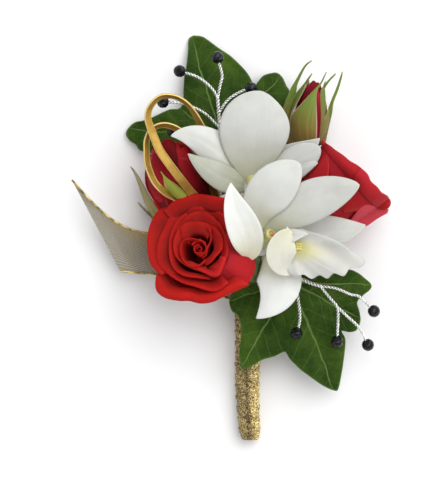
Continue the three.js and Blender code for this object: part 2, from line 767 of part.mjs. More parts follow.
    make: (grow) => {
      const profile = [[0, -3], [1.8, -2.8], [2.1, 0], [1.5, 3], [1.9, 5], [0, 6]];
      return turned(profile, [8.6, -1, 23.2], [12.4, 1.6, 28.6], 8, grow);
    },
  },
  {
    name: "lower_orchid_lip",
    colour: 0xe6dfa0,
    metalness: 0,
    roughness: 0.5,
    make: (grow) => join(lipLobes.map((lobe) => blade(lobe, grow))),
  },
  {
    name: "lower_orchid_tepals",
    colour: 0xe9e8df,
    metalness: 0,
    roughness: 0.55,
    make: (grow) => flower(lowerOrchid, grow),
  },
  {
    name: "upper_orchid_tepals",
    colour: 0xe6e6dc,
    metalness: 0,
    roughness: 0.55,
    make: (grow) => flower(upperOrchid, grow),
  },
  {
    name: "ivy_leaf_upper",
    colour: 0x2f5a2c,
    metalness: 0,
    roughness: 0.5,
    make: (grow) =>
      leaf(
        {
          base: [-3.6, 30.2, 5.6],
          outline: [
            [-12.7, 63.5], [-14.2, 62.3], [-14.4, 58.5], [-14.9, 53.7], [-15.5, 50.6], [-15.8, 45.8],
            [-15.9, 42.6], [-17.2, 40.3], [-20.3, 40.0], [-25.1, 37.8], [-28.3, 36.6], [-31.4, 35.9],
            [-33.9, 33.1], [-33.0, 30.6], [-30.8, 29.0], [-29.2, 27.1], [-23.5, 26.2], [-15.6, 27.2],
            [-9.3, 28.2], [-3.6, 28.7], [1.9, 28.9], [9.0, 31.3], [14.7, 34.9], [17.9, 40.0],
            [17.5, 45.7], [16.6, 47.3], [15.3, 50.1], [13.6, 51.6], [11.4, 51.4], [9.2, 50.6],
            [7.7, 48.9], [6.3, 47.1], [5.7, 48.9], [4.2, 51.5], [2.0, 54.0], [-1.2, 57.0],
            [-4.6, 59.3], [-7.5, 61.5], [-9.9, 63.1],
          ],
          veins: [1.85, 3.0, 0.85, 2.5],
          relief: 0.8,
          surface: (x, y) => -0.0048 * (x * x + 0.9 * y * y) + 0.35 * Math.sin(0.25 * x + 0.2 * y),
          stalk: [[1.2, -4, 6], [-0.6, 10, 4.4], [-2.6, 24, 4.6], [-3.6, 31, 5.4]],
          stalkRadius: 0.8,
        },
        grow,
      ),
  },
  {
    name: "ivy_leaf_lower",
    colour: 0x35602f,
    metalness: 0,
    roughness: 0.5,
    make: (grow) =>
      leaf(
        {
          base: [17.6, -13.9, 11.4],
          outline: [
            [16.4, -12.4], [8.6, -14], [1.9, -15.6], [-0.9, -17.8], [-1.5, -20.3], [-0.6, -23.1],
            [1.2, -24.6], [2.2, -28.7], [1.9, -33.3], [1.6, -37.4], [2.8, -41.1], [5, -40.5],
            [8.7, -38.3], [12.7, -37.1], [15.8, -35.8], [17.4, -38], [20.5, -41.1], [24.2, -43.9],
            [28.2, -46.6], [31.3, -47.9], [32.6, -47.3], [33.8, -41.1], [34.4, -36.4], [34.7, -31.8],
            [33.5, -29.3], [36, -29.6], [38.1, -29], [39.4, -26.2], [39.1, -23.1], [38.4, -20.3],
            [40.3, -18.1], [42.5, -16.3], [42.8, -14.7], [40.9, -12.9], [38.4, -11], [35.4, -10],
            [28.2, -9.6], [20.5, -11],
          ],
          veins: [-1.19, -2.09, -0.49, -0.05, -2.85],
          relief: 0.9,
          surface: (x, y) => -0.0022 * (x * x + y * y) + 0.4 * Math.sin(0.22 * x - 0.2 * y),
          stalk: [[5.4, -17.5, 6], [9, -15.4, 8.6], [13, -14.2, 10.6], [17.6, -13.9, 11.4]],
          stalkRadius: 0.8,
        },
        grow,
      ),
  },
  {
    name: "ribbon_tail",
    colour: 0xb7ab90,
    metalness: 0.3,
    roughness: 0.5,
    make: (grow) => ribbon(grow),
  },
  {
    name: "small_bud_petals",
    colour: 0x8e1f2c,
    metalness: 0,
    roughness: 0.5,
    make: (grow) => turned(bud.bloom, bud.base, bud.tip, 12, grow),
  },
  ...[
    ["side_rose_petals", 0x8c1028, sideRose],
    ["open_rose_petals", 0xb81a20, openRose],
    ["right_rose_petals", 0xb81a20, rightRose],
  ].map(([name, colour, rose]) => ({
    name,
    colour,
    metalness: 0,
    roughness: 0.5,
    make: (grow) => rosePetals(rose, grow),
  })),
];

const boxesMeet = (a, b) => [0, 1, 2].every((i) => a.min[i] <= b.max[i] && b.min[i] <= a.max[i]);

// Each piece is cleared of the pieces before it in the list
const boutonniere = new THREE.Group();
boutonniere.name = "boutonniere";
boutonniere.position.set(...ORIGIN);
const placed = [];
const ground = toSolid(UNDERGROUND);
for (const piece of pieces) {
  let solid = piece.make(0).subtract(ground);
  for (const other of placed) {
    if (boxesMeet(solid.boundingBox(), other.boundingBox())) solid = solid.subtract(other);
  }
  solid = mainBody(solid);
  placed.push(piece.make(GAP));
  const found = solid.getMesh();
  const geometry = new THREE.BufferGeometry();
  geometry.setAttribute("position", new THREE.BufferAttribute(new Float32Array(found.vertProperties), 3));
  geometry.setIndex(new THREE.BufferAttribute(new Uint32Array(found.triVerts), 1));
  geometry.computeVertexNormals();
  const material = new THREE.MeshStandardMaterial({
    color: piece.colour,
    roughness: piece.roughness,
    metalness: piece.metalness,
    side: THREE.DoubleSide,
  });
  const mesh = new THREE.Mesh(geometry, material);
  mesh.name = piece.name;
  boutonniere.add(mesh);
}

export default boutonniere;
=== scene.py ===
"""Boutonniere: the finished blooms, leaves, wires, loops, ribbon and wrapped handle.

All shapes are worked out in millimetres in the bunch's own frame, where the handle runs down the
page, the blooms are at the top and +Z points up from the surface that the bunch lies on. `placed`
moves them to the part's frame, in metres.
"""
import logging
import math
from dataclasses import dataclass
from enum import Enum

import bpy
import numpy as np
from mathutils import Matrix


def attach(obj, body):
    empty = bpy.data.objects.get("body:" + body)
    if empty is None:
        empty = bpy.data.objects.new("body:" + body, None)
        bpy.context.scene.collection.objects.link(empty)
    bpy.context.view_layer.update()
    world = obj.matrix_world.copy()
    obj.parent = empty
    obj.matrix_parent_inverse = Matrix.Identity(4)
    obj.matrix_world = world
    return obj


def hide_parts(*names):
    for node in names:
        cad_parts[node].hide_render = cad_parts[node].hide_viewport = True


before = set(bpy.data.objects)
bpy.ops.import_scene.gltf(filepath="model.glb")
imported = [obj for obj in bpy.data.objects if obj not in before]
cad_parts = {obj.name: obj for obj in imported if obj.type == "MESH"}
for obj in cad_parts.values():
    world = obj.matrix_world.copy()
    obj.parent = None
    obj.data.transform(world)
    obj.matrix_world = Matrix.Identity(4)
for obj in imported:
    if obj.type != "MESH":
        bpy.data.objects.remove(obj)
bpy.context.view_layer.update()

LOG = logging.getLogger("boutonniere")

# The bunch's frame to the part's frame, in millimetres
SHIFT = np.array([2.3, 0.0, 0.0])
MM = 0.001
UP = np.array([0.0, 0.0, 1.0])

# Thicknesses in millimetres
PETAL_THICKNESS = 0.36
TEPAL_THICKNESS = 0.5
LEAF_THICKNESS = 0.42
SEPAL_THICKNESS = 0.45
DRAPED_SEPAL_THICKNESS = 0.4
BUD_PETAL_THICKNESS = 0.3
RIBBON_THICKNESS = 0.16

# The camera: straight above the middle of the picture, far off with a long lens
CAMERA_HEIGHT = 1000.0
CAMERA_MIDDLE = (-3.565, -4.03)
PICTURE_HEIGHT = 155.0
FOCUS_LEVEL = 15.0

Array = np.ndarray
Pair = tuple[float, float]
Point = tuple[float, float, float]
Colour = tuple[float, float, float]
Outline = tuple[Pair, ...]
Path = tuple[Point, ...]
Node = bpy.types.Node
NodeTree = bpy.types.NodeTree
Socket = bpy.types.NodeSocket
Material = bpy.types.Material


def placed(points: Array) -> Array:
    """Moves points from the bunch's frame in millimetres to the part's frame in metres.

    Args:
        points: positions in the bunch's frame.

    Returns:
        The same positions in the part's frame.
    """
    return (points + SHIFT) * MM


def unit(vectors: Array) -> Array:
    """Returns each vector divided by its length."""
    return vectors / np.maximum(np.linalg.norm(vectors, axis=-1, keepdims=True), 1e-9)


def mix(a: float, b: float, t: float) -> float:
    """Returns the value a share t of the way from a to b."""
    return a + (b - a) * t


def smoothstep(low: float, high: float, x: Array) -> Array:
    """Returns 0 below low, 1 above high and a smooth cubic between them."""
    t = np.clip((x - low) / (high - low), 0.0, 1.0)
    return t * t * (3.0 - 2.0 * t)


def spline(points: Array, at: Array) -> Array:
    """Catmull-Rom curve through points, at parameters from 0 to 1.

    Each span is the cubic whose slope at a point is half the step between that point's neighbours.

    Args:
        points: the points that the curve passes through, one a row.
        at: parameters, 0 at the first point and 1 at the last.

    Returns:
        One position for each parameter.
    """
    points = np.asarray(points, float)
    first = 2.0 * points[:1] - points[1:2]
    last = 2.0 * points[-1:] - points[-2:-1]
    padded = np.concatenate([first, points, last])
    x = np.clip(at, 0.0, 1.0) * (len(points) - 1)
    k = np.minimum(x.astype(int), len(points) - 2)
    t = (x - k)[..., None]
    p0, p1, p2, p3 = (padded[k + i] for i in range(4))
    return 0.5 * (
        2.0 * p1
        + (p2 - p0) * t
        + (2.0 * p0 - 5.0 * p1 + 4.0 * p2 - p3) * t**2
        + (3.0 * p1 - p0 - 3.0 * p2 + p3) * t**3
    )


def even_path(points: Array, count: int) -> Array:
    """Samples the smooth curve through points at even distances.

    Args:
        points: the points that the curve passes through.
        count: how many samples.

    Returns:
        The samples, one a row.
    """
    fine = spline(np.asarray(points, float), np.linspace(0.0, 1.0, 40 * len(points)))
    steps = np.linalg.norm(np.diff(fine, axis=0), axis=1)
    length = np.concatenate([[0.0], np.cumsum(steps)])
    wanted = np.linspace(0.0, length[-1], count)
    return np.stack([np.interp(wanted, length, fine[:, i]) for i in range(3)], axis=1)


def path_length(points: Array) -> float:
    """Returns the length of the smooth curve through points."""
    fine = spline(np.asarray(points, float), np.linspace(0.0, 1.0, 40 * len(points)))
    return float(np.linalg.norm(np.diff(fine, axis=0), axis=1).sum())


def axis_frame(base: Array, tip: Array) -> tuple[Array, Array, Array]:
    """Two directions across a bloom's axis and the axis itself.

    Args:
        base: the bloom's base.
        tip: a point further along its axis.

    Returns:
        The two directions and the axis, as unit vectors.
    """
    axis = unit(np.asarray(tip, float) - np.asarray(base, float))
    helper = np.array([0.0, 1.0, 0.0]) if abs(axis[2]) > 0.9 else UP
    across = unit(np.cross(helper, axis))
    return across, np.cross(axis, across), axis


def round_circle(angle: Array, across: Array, third: Array) -> Array:
    """Returns the unit vectors at angles between two directions that stand square to each other."""
    return np.cos(angle)[..., None] * across + np.sin(angle)[..., None] * third


def turned_pair(first: Array, second: Array, turn: Array) -> tuple[Array, Array]:
    """Returns two directions turned by an angle in the plane that they span."""
    return np.cos(turn) * first + np.sin(turn) * second, np.cos(turn) * second - np.sin(turn) * first


def closed_edge(outline: Outline, count: int) -> Array:
    """Returns evenly spaced points on the smooth closed curve through an outline on the page."""
    closed = np.array(outline + outline[:1])
    return even_path(np.concatenate([closed, np.zeros((len(closed), 1))], axis=1), count + 1)[:-1, :2]


class MeshBuilder:
    """Gathers grids, tubes and turned shapes, and makes one object of them."""

    def __init__(self, name: str) -> None:
        """Starts an empty mesh with a name."""
        self.name = name
        self.points: list[Array] = []
        self.faces: list[list[int]] = []
        self.uvs: list[Array] = []
        self.painted_lights: list[Array] = []
        self.count = 0

    def add(self, points: Array, faces: tuple[Array, ...], uvs: Array, tone: float | Array = 0.5) -> None:
        """Adds a closed surface, and turns its faces to point outwards.

        The volume is a sixth of the sum, over the triangles of each face, of the triple product
        of the corners; where it is negative every face is reversed.

        Args:
            points: vertices in the bunch's frame, one a row.
            faces: tables of vertex numbers, one row a face, counted from this call's first vertex.
            uvs: a pair for each vertex.
            tone: the painted light and shade for the vertices, such as how light a petal is drawn.
        """
        fans = [table[:, [0, k, k + 1]] for table in faces for k in range(1, table.shape[1] - 1)]
        a, b, c = (points[np.concatenate(fans)[:, k]] for k in range(3))
        inward = float(np.einsum("ij,ij->i", a, np.cross(b, c)).sum()) < 0.0
        for table in faces:
            self.faces.extend(((table[:, ::-1] if inward else table) + self.count).tolist())
        self.points.append(points)
        self.uvs.append(uvs)
        self.painted_lights.append(np.broadcast_to(np.asarray(tone, float), (len(points),)))
        self.count += len(points)

    def sheet(self, middle: Array, thickness: float, tone: float | Array = 0.5) -> None:
        """Adds a grid of points thickened to both sides and thinned towards its edges.

        Each face lies half the thickness along the surface's normal, which is the cross product
        of the grid's two directions, times a share that falls to a third at the edge.

        Args:
            middle: the grid, rows along the piece and columns across it.
            thickness: the full thickness in millimetres.
            tone: the painted light and shade for the vertices.
        """
        rows, columns = middle.shape[:2]
        normal = unit(np.cross(np.gradient(middle, axis=0), np.gradient(middle, axis=1)))
        u = np.linspace(0.0, 1.0, rows)[:, None] + np.zeros((1, columns))
        v = np.linspace(0.0, 1.0, columns)[None, :] + np.zeros((rows, 1))
        inner = np.minimum(np.minimum(v, 1.0 - v) * columns, (1.0 - u) * rows)
        half = 0.5 * thickness * (0.35 + 0.65 * np.clip(inner / 2.0, 0.0, 1.0))[..., None]
        points = np.stack([middle + half * normal, middle - half * normal]).reshape(-1, 3)
        uv = np.stack([u, v], axis=-1).reshape(-1, 2)
        under = rows * columns
        top = np.arange(under).reshape(rows, columns)
        low = top + under
        loop = np.concatenate([top[:-1, 0], top[-1, :-1], top[:0:-1, -1], top[0, :0:-1]])
        after = np.roll(loop, -1)
        faces = (
            np.stack([top[:-1, :-1], top[1:, :-1], top[1:, 1:], top[:-1, 1:]], axis=-1).reshape(-1, 4),
            np.stack([low[:-1, :-1], low[:-1, 1:], low[1:, 1:], low[1:, :-1]], axis=-1).reshape(-1, 4),
            np.stack([loop, loop + under, after + under, after], axis=-1),
        )
        if np.ndim(tone):
            tone = np.tile(np.asarray(tone).reshape(-1), 2)
        self.add(points, faces, np.tile(uv, (2, 1)), tone)

    def rings(self, rings: Array, tone: float | Array = 0.5) -> None:
        """Adds a closed skin over rings of points, with its two ends closed by a middle point.

        Args:
            rings: ring number, point number and position, each ring running the same way round.
            tone: the painted light and shade for the vertices.
        """
        count, around = rings.shape[:2]
        ends = np.stack([rings[0].mean(axis=0), rings[-1].mean(axis=0)])
        points = np.concatenate([rings.reshape(-1, 3), ends])
        number = np.arange(count * around).reshape(count, around)
        following = np.roll(number, -1, axis=1)
        skin = np.stack([number[:-1], following[:-1], following[1:], number[1:]], axis=-1).reshape(-1, 4)
        first, last = count * around, count * around + 1
        start = np.stack([following[0], number[0], np.full(around, first)], axis=-1)
        end = np.stack([number[-1], following[-1], np.full(around, last)], axis=-1)
        u = np.repeat(np.linspace(0.0, 1.0, count), around)
        v = np.tile(np.linspace(0.0, 1.0, around), count)
        uv = np.concatenate([np.stack([u, v], axis=-1), [[0.0, 0.5], [1.0, 0.5]]])
        self.add(points, (skin, start, end), uv, tone)

    def fan(self, upper: Array, lower: Array, tone: float = 0.5) -> None:
        """Adds a disc between two surfaces of rings that run from a middle outwards.

        Args:
            upper: rings of the upper face, from the middle to the outline.
            lower: the same rings on the lower face.
            tone: the painted light and shade for the vertices.
        """
        count, around = upper.shape[:2]
        self.rings(np.concatenate([upper, lower[::-1]]), tone)
        share = np.linspace(0.0, 1.0, count)
        u = np.repeat(np.concatenate([share, share[::-1]]), around)
        v = np.full(len(u), 0.5)
        self.uvs[-1] = np.concatenate([np.stack([u, v], axis=-1), [[0.0, 0.5], [0.0, 0.5]]])

    def tube(self, path: Array, radius: float | Array, sides: int = 8, tone: float = 0.5) -> None:
        """Adds a round rod along a path of points.

        A ring lies across the path's direction at each point, at the radius there.

        Args:
            path: the middle of the rod, one point a row.
            radius: the rod's radius, or one for each point.
            sides: how many sides the rod has.
            tone: the painted light and shade for the vertices.
        """
        tangent = unit(np.gradient(path, axis=0))
        side = transported(tangent)
        other = np.cross(tangent, side)
        angle = np.linspace(0.0, 2.0 * math.pi, sides, endpoint=False)[None, :]
        reach = np.broadcast_to(np.asarray(radius, float), (len(path),))[:, None, None]
        self.rings(path[:, None] + reach * round_circle(angle, side[:, None], other[:, None]), tone)

    def turned(self, profile: Array, base: Array, tip: Array, sides: int, tone: float = 0.5) -> None:
        """Adds a shape turned about a bloom's axis.

        Args:
            profile: radius and height along the axis, from one end to the other.
            base: where height is 0.
            tip: a point further along the axis.
            sides: how many sides.
            tone: the painted light and shade for the vertices.
        """
        across, third, axis = axis_frame(base, tip)
        angle = np.linspace(0.0, 2.0 * math.pi, sides, endpoint=False)[None, :]
        radius, height = np.asarray(profile, float).T[:, :, None, None]
        rings = np.asarray(base, float) + radius * round_circle(angle, across, third) + height * axis
        self.rings(rings, tone)

    def build(self, material: Material, node: str, slot: str, flat: bool = False) -> bpy.types.Object:
        """Makes the object, dresses it and lets it stand for a solid.

        What would reach below the surface that the bunch lies on is pressed flat against it.

        Args:
            material: its material.
            node: the solid that it replaces.
            slot: the record's material slot; not used.
            flat: whether its faces are facets.

        Returns:
            The new object.
        """
        mesh = bpy.data.meshes.new(self.name)
        points = np.concatenate(self.points)
        points[:, 2] = np.maximum(points[:, 2], 0.0)
        mesh.from_pydata(placed(points).tolist(), [], self.faces)
        corners = np.empty(len(mesh.loops), dtype=np.int32)
        mesh.loops.foreach_get("vertex_index", corners)
        uvs = np.concatenate(self.uvs)
        mesh.uv_layers.new(name="UVMap").data.foreach_set("uv", uvs[corners].ravel())
        # Each vertex keeps its painted light and shade as an attribute, which the petal and glitter finishes
        # read.
        tone = mesh.attributes.new("tone", "FLOAT", "POINT")
        tone.data.foreach_set("value", np.concatenate(self.painted_lights).astype(np.float32))
        mesh.polygons.foreach_set("use_smooth", np.full(len(mesh.polygons), not flat))
        mesh.materials.append(material)
        mesh.update()
        piece = bpy.data.objects.new(self.name, mesh)
        bpy.context.scene.collection.objects.link(piece)
        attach(piece, "root")
        if node:
            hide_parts(node)
        LOG.info("%s: %d faces", self.name, len(mesh.polygons))
        return piece


def transported(tangent: Array) -> Array:
    """A direction across a path that turns with it as little as it can.

    The first direction is any one across the path; each next one is the last with its part along
    the new direction taken out.

    Args:
        tangent: the path's direction at each point.

    Returns:
        One unit vector for each point.
    """
    helper = UP if abs(tangent[0, 2]) < 0.9 else np.array([1.0, 0.0, 0.0])
    sides = np.empty_like(tangent)
    side = unit(np.cross(helper, tangent[0]))
    for k, along in enumerate(tangent):
        side = unit(side - np.dot(side, along) * along)
        sides[k] = side
    return sides


# Node trees


class Tree:
    """Short ways to add nodes to a shader or a node group."""

    def __init__(self, tree: NodeTree) -> None:
        """Works on a node tree."""
        self.tree = tree

    def node(self, kind: str, **settings: object) -> Node:
        """Adds a node and sets its properties.

        Args:
            kind: the node's type, without ShaderNode.
            **settings: properties to set on it.

        Returns:
            The node.
        """
        made = self.tree.nodes.new(kind if kind.startswith("Node") else "ShaderNode" + kind)
        for key, value in settings.items():
            setattr(made, key, value)
        return made

    def feed(self, socket: Socket, value: object) -> None:
        """Links an output to a socket, or sets the socket's own value: three numbers for a colour."""
        if isinstance(value, Socket):
            self.tree.links.new(value, socket)
        else:
            socket.default_value = (*value, 1.0) if socket.type == "RGBA" else value

    def feed_all(self, node: Node, values: dict[str, object]) -> None:
        """Feeds several of a node's inputs by their names."""
        for name, value in values.items():
            self.feed(node.inputs[name], value)

    def maths(self, operation: str, *values: object) -> Socket:
        """Adds a Math node and returns its output."""
        made = self.node("Math", operation=operation)
        for socket, value in zip(made.inputs, values):
            self.feed(socket, value)
        return made.outputs[0]

    def times(self, a: object, b: object) -> Socket:
        """Returns the product of two values."""
        return self.maths("MULTIPLY", a, b)

    def plus(self, a: object, b: object) -> Socket:
        """Returns the sum of two values."""
        return self.maths("ADD", a, b)

    def minus(self, a: object, b: object) -> Socket:
        """Returns a value less another."""
        return self.maths("SUBTRACT", a, b)

    def scaled(self, value: object, scale: object, shift: object) -> Socket:
        """Returns a value times a scale and plus a shift."""
        return self.maths("MULTIPLY_ADD", value, scale, shift)

    def beside(self, value: object, middle: float) -> Socket:
        """Returns how far a value lies from a middle, on either side."""
        return self.maths("ABSOLUTE", self.minus(value, middle))

    def ramp(
        self, value: object, low: object, high: object, start: object = 0.0, end: object = 1.0
    ) -> Socket:
        """Maps a value smoothly from one range to another and returns the output."""
        made = self.node("MapRange", interpolation_type="SMOOTHSTEP", clamp=True)
        limits = {"From Min": low, "From Max": high, "To Min": start, "To Max": end}
        self.feed_all(made, {"Value": value, **limits})
        return made.outputs["Result"]

    def blend(self, share: object, a: object, b: object, way: str = "MIX") -> Socket:
        """Mixes two colours and returns the output."""
        made = self.node("Mix", data_type="RGBA", blend_type=way)
        self.feed_all(made, {"Factor": share, "A": a, "B": b})
        return made.outputs["Result"]

    def noise(self, vector: object, scale: float, detail: float = 3.0, rough: float = 0.5) -> Socket:
        """Adds a noise texture and returns its value."""
        made = self.node("TexNoise")
        self.feed_all(made, {"Vector": vector, "Scale": scale, "Detail": detail, "Roughness": rough})
        return made.outputs["Fac"]

    def cells(self, vector: object, scale: object, feature: str) -> Node:
        """Adds a texture of cells and returns the node."""
        made = self.node("TexVoronoi", feature=feature)
        self.feed_all(made, {"Vector": vector, "Scale": scale})
        return made

    def place(self) -> Socket:
        """Returns the place on the object."""
        return self.node("TexCoord").outputs["Object"]

    def tone(self) -> Socket:
        """Returns the painted light and shade that the mesh carries at each vertex."""
        return self.node("Attribute", attribute_name="tone").outputs["Fac"]

    def split(self, vector: object) -> tuple[Socket, ...]:
        """Returns the three parts of a vector."""
        made = self.node("SeparateXYZ")
        self.feed(made.inputs[0], vector)
        return tuple(made.outputs)

    def surface(self) -> tuple[Socket, ...]:
        """Returns the piece's own map: the share along it, the share across it and 0."""
        return self.split(self.node("UVMap", uv_map="UVMap").outputs[0])

    def shaded(self, colour: object, light: object) -> Socket:
        """Returns a colour times a lightness."""
        grey = self.node("CombineColor")
        self.feed_all(grey, {name: light for name in ("Red", "Green", "Blue")})
        return self.blend(1.0, colour, grey.outputs[0], "MULTIPLY")

    def group(self, group: NodeTree, **values: object) -> Node:
        """Places a node group and feeds its inputs, whose names have underscores for spaces."""
        made = self.node("Group", node_tree=group)
        self.feed_all(made, {key.replace("_", " "): value for key, value in values.items()})
        return made


def new_group(name: str, inputs: dict[str, object], outputs: dict[str, str]) -> tuple[Tree, object, Node]:
    """Starts a shader node group.

    Args:
        name: its name.
        inputs: for each input's name its usual value: a number, a colour, or None for a vector.
        outputs: the kind of each output.

    Returns:
        The group's tree, its inputs as the group reads them, and its output node.
    """
    group = bpy.data.node_groups.new(name, "ShaderNodeTree")
    for label, value in inputs.items():
        kind = "Vector" if value is None else "Float" if isinstance(value, float) else "Color"
        socket = group.interface.new_socket(label, in_out="INPUT", socket_type="NodeSocket" + kind)
        if value is not None:
            socket.default_value = (*value, 1.0) if kind == "Color" else value
    for label, kind in outputs.items():
        group.interface.new_socket(label, in_out="OUTPUT", socket_type="NodeSocket" + kind)
    tree = Tree(group)
    return tree, tree.node("NodeGroupInput").outputs, tree.node("NodeGroupOutput")


def petal_tone_group() -> NodeTree:
    """Colour of a petal: from base to rim, painted lighter or darker piece by piece, with fine streaks.

    The share of the rim colour grows smoothly with the distance from base to rim; on the red rose
    petals the darker base is painted shade in the hollows. Each piece's painted light makes its
    colour lighter or darker and sets its share of the blush. Streaks are noise stretched along the
    petal, and patches are slow noise over the whole bloom.

    Returns:
        The group.
    """
    tree, given, out = new_group(
        "Petal tone",
        {
            "Base": (0.3, 0.01, 0.01),
            "Rim": (0.7, 0.03, 0.03),
            "Rim start": 0.4,
            "Rim end": 1.0,
            "Blush": (0.6, 0.03, 0.06),
            "Blush amount": 0.0,
            "Blush from": 0.75,
            "Blush to": 1.0,
            "Streaks": 0.2,
            "Across": 24.0,
            "Edge": (0.5, 0.3, 0.3),
            "Edge amount": 0.0,
        },
        {"Color": "Color", "Streak": "Float"},
    )
    stretch, another_for_each_painted_light, patch_scale, patch_depth = 1.6, 37.0, 130.0, 0.3
    along, across, _ = tree.surface()
    tone = tree.tone()
    stretched = tree.node("CombineXYZ")
    stretched_by = {
        "X": tree.times(along, stretch),
        "Y": tree.times(across, given["Across"]),
        "Z": tree.times(tone, another_for_each_painted_light),
    }
    tree.feed_all(stretched, stretched_by)
    streak = tree.noise(stretched.outputs[0], 1.0, 2.0, 0.6)
    patch = tree.scaled(tree.noise(tree.place(), patch_scale), patch_depth, -0.5 * patch_depth)
    # On the red rose petals the darker base colour is painted shade in the hollows.
    share = tree.ramp(tree.plus(along, patch), given["Rim start"], given["Rim end"])
    colour = tree.blend(share, given["Base"], given["Rim"])
    # The blush follows each piece's painted light value, over the range that the finish gives.
    blush = tree.ramp(tone, given["Blush from"], given["Blush to"])
    colour = tree.blend(tree.times(blush, given["Blush amount"]), colour, given["Blush"])
    # The edge colour runs along the margins: a painted highlight on rose rims, the margin's own colour on
    # sepals.
    outermost = tree.maths("MAXIMUM", tree.times(tree.beside(across, 0.5), 2.0), tree.minus(along, 0.04))
    edge = tree.ramp(outermost, 0.86, 0.96)
    colour = tree.blend(tree.times(edge, given["Edge amount"]), colour, given["Edge"])
    strength = tree.times(tree.minus(streak, 0.5), given["Streaks"])
    # Painted light and shade: each piece's value, with the streaks and patches, scales how light its colour
    # is.
    light = tree.plus(tree.plus(tree.scaled(tone, 0.7, 0.65), strength), patch)
    tree.feed_all(out, {"Color": tree.shaded(colour, light), "Streak": streak})
    return tree.tree


def vein_group() -> NodeTree:
    """One main vein of a lobed leaf with the side veins that leave it on both sides.

    With t the distance along the vein and w the distance from it, the main vein is where w is
    small, and the side veins are the lines on which t less w is a whole number of spacings,
    inside a wedge about the vein.

    Returns:
        The group.
    """
    tree, given, out = new_group(
        "Leaf vein",
        {"Place": None, "Angle": 0.0, "Length": 30.0, "Spacing": 4.0, "Width": 0.27},
        {"Main": "Float", "Side": "Float"},
    )
    x, y, _ = tree.split(given["Place"])
    cosine = tree.maths("COSINE", given["Angle"])
    sine = tree.maths("SINE", given["Angle"])
    along = tree.scaled(x, cosine, tree.times(y, sine))
    away = tree.maths("ABSOLUTE", tree.minus(tree.times(y, cosine), tree.times(x, sine)))
    share = tree.maths("DIVIDE", along, given["Length"])
    inside = tree.times(tree.ramp(share, 0.0, 0.02), tree.ramp(share, 0.9, 1.05, 1.0, 0.0))
    width = tree.times(given["Width"], tree.scaled(share, -0.65, 1.0))
    main = tree.times(tree.ramp(away, width, tree.times(width, 2.0), 1.0, 0.0), inside)
    slant = 0.95
    phase = tree.maths("DIVIDE", tree.minus(along, tree.times(away, slant)), given["Spacing"])
    near = tree.times(tree.beside(tree.maths("FRACT", phase), 0.5), given["Spacing"])
    line = tree.ramp(near, tree.times(width, 0.45), tree.times(width, 1.1), 1.0, 0.0)
    wedge = tree.ramp(tree.maths("DIVIDE", away, tree.maths("MAXIMUM", along, 0.1)), 0.36, 0.5, 1.0, 0.0)
    side = tree.times(tree.times(line, wedge), tree.times(inside, tree.ramp(along, 1.0, 3.0)))
    tree.feed_all(out, {"Main": main, "Side": side})
    return tree.tree


def sparkle_group() -> NodeTree:
    """Glitter: each small cell has its own brightness and its own tilt.

    Returns:
        The group.
    """
    tree, given, out = new_group(
        "Glitter",
        {"Dark": (0.1, 0.06, 0.02), "Bright": (0.9, 0.75, 0.4), "Scale": 2600.0},
        {"Color": "Color", "Flake": "Float", "Height": "Float"},
    )
    place = tree.place()
    split = tree.node("SeparateColor")
    tree.feed(split.inputs[0], tree.cells(place, given["Scale"], "F1").outputs["Color"])
    shade = tree.ramp(split.outputs["Red"], 0.25, 1.0)
    patches = tree.ramp(tree.noise(place, 300.0, 2.0), 0.3, 0.7)
    amount = tree.times(shade, tree.scaled(patches, 0.4, 0.6))
    colour = tree.blend(amount, given["Dark"], given["Bright"])
    tree.feed_all(out, {"Color": colour, "Flake": split.outputs["Green"], "Height": split.outputs["Blue"]})
    return tree.tree


def weave_group() -> NodeTree:
    """Plain weave of round threads over the UV map, with the thread counts given.

    A thread's height is the cosine across it, and where two cross the higher one shows. The
    mask is 1 on a thread and 0 in a hole.

    Returns:
        The group.
    """
    tree, given, out = new_group(
        "Open weave",
        {"Along": 80.0, "Across": 22.0, "Fill": 0.6},
        {"Mask": "Float", "Height": "Float", "Lengthwise": "Float"},
    )
    empty = tree.minus(1.0, given["Fill"])
    heights = []
    for share, count in zip(tree.surface(), ("Along", "Across")):
        away = tree.beside(tree.maths("FRACT", tree.times(share, given[count])), 0.5)
        heights.append(tree.minus(tree.minus(1.0, tree.times(away, 2.0)), empty))
    crosswise, lengthwise = heights
    top = tree.maths("MAXIMUM", lengthwise, crosswise)
    over = tree.ramp(tree.minus(lengthwise, crosswise), -0.05, 0.05)
    tree.feed_all(out, {"Mask": tree.ramp(top, -0.02, 0.05), "Height": top, "Lengthwise": over})
    return tree.tree


@dataclass(frozen=True)
class Groups:
    """The node groups that several finishes share."""

    petal: NodeTree
    vein: NodeTree
    glitter: NodeTree
    weave: NodeTree


# Finishes


@dataclass(frozen=True)
class Finish:
    """Constant values that a finish sets on the shader's own sockets."""

    roughness: float = 0.5
    metallic: float = 0.0
    specular: float = 0.5
    subsurface: float = 0.0
    subsurface_scale: float = 0.001
    subsurface_radius: Point = (1.0, 0.4, 0.3)

    def shader(self, name: str) -> tuple[Tree, Node, Material]:
        """Starts a material with these values.

        Args:
            name: the material's name.

        Returns:
            The material's tree, its Principled BSDF and the material.
        """
        material = bpy.data.materials.new(name)
        material.use_nodes = True
        bsdf = material.node_tree.nodes["Principled BSDF"]
        for socket, value in (
            ("Roughness", self.roughness),
            ("Metallic", self.metallic),
            ("Specular IOR Level", self.specular),
            ("Subsurface Weight", self.subsurface),
            ("Subsurface Scale", self.subsurface_scale),
            ("Subsurface Radius", self.subsurface_radius),
        ):
            bsdf.inputs[socket].default_value = value
        return Tree(material.node_tree), bsdf, material


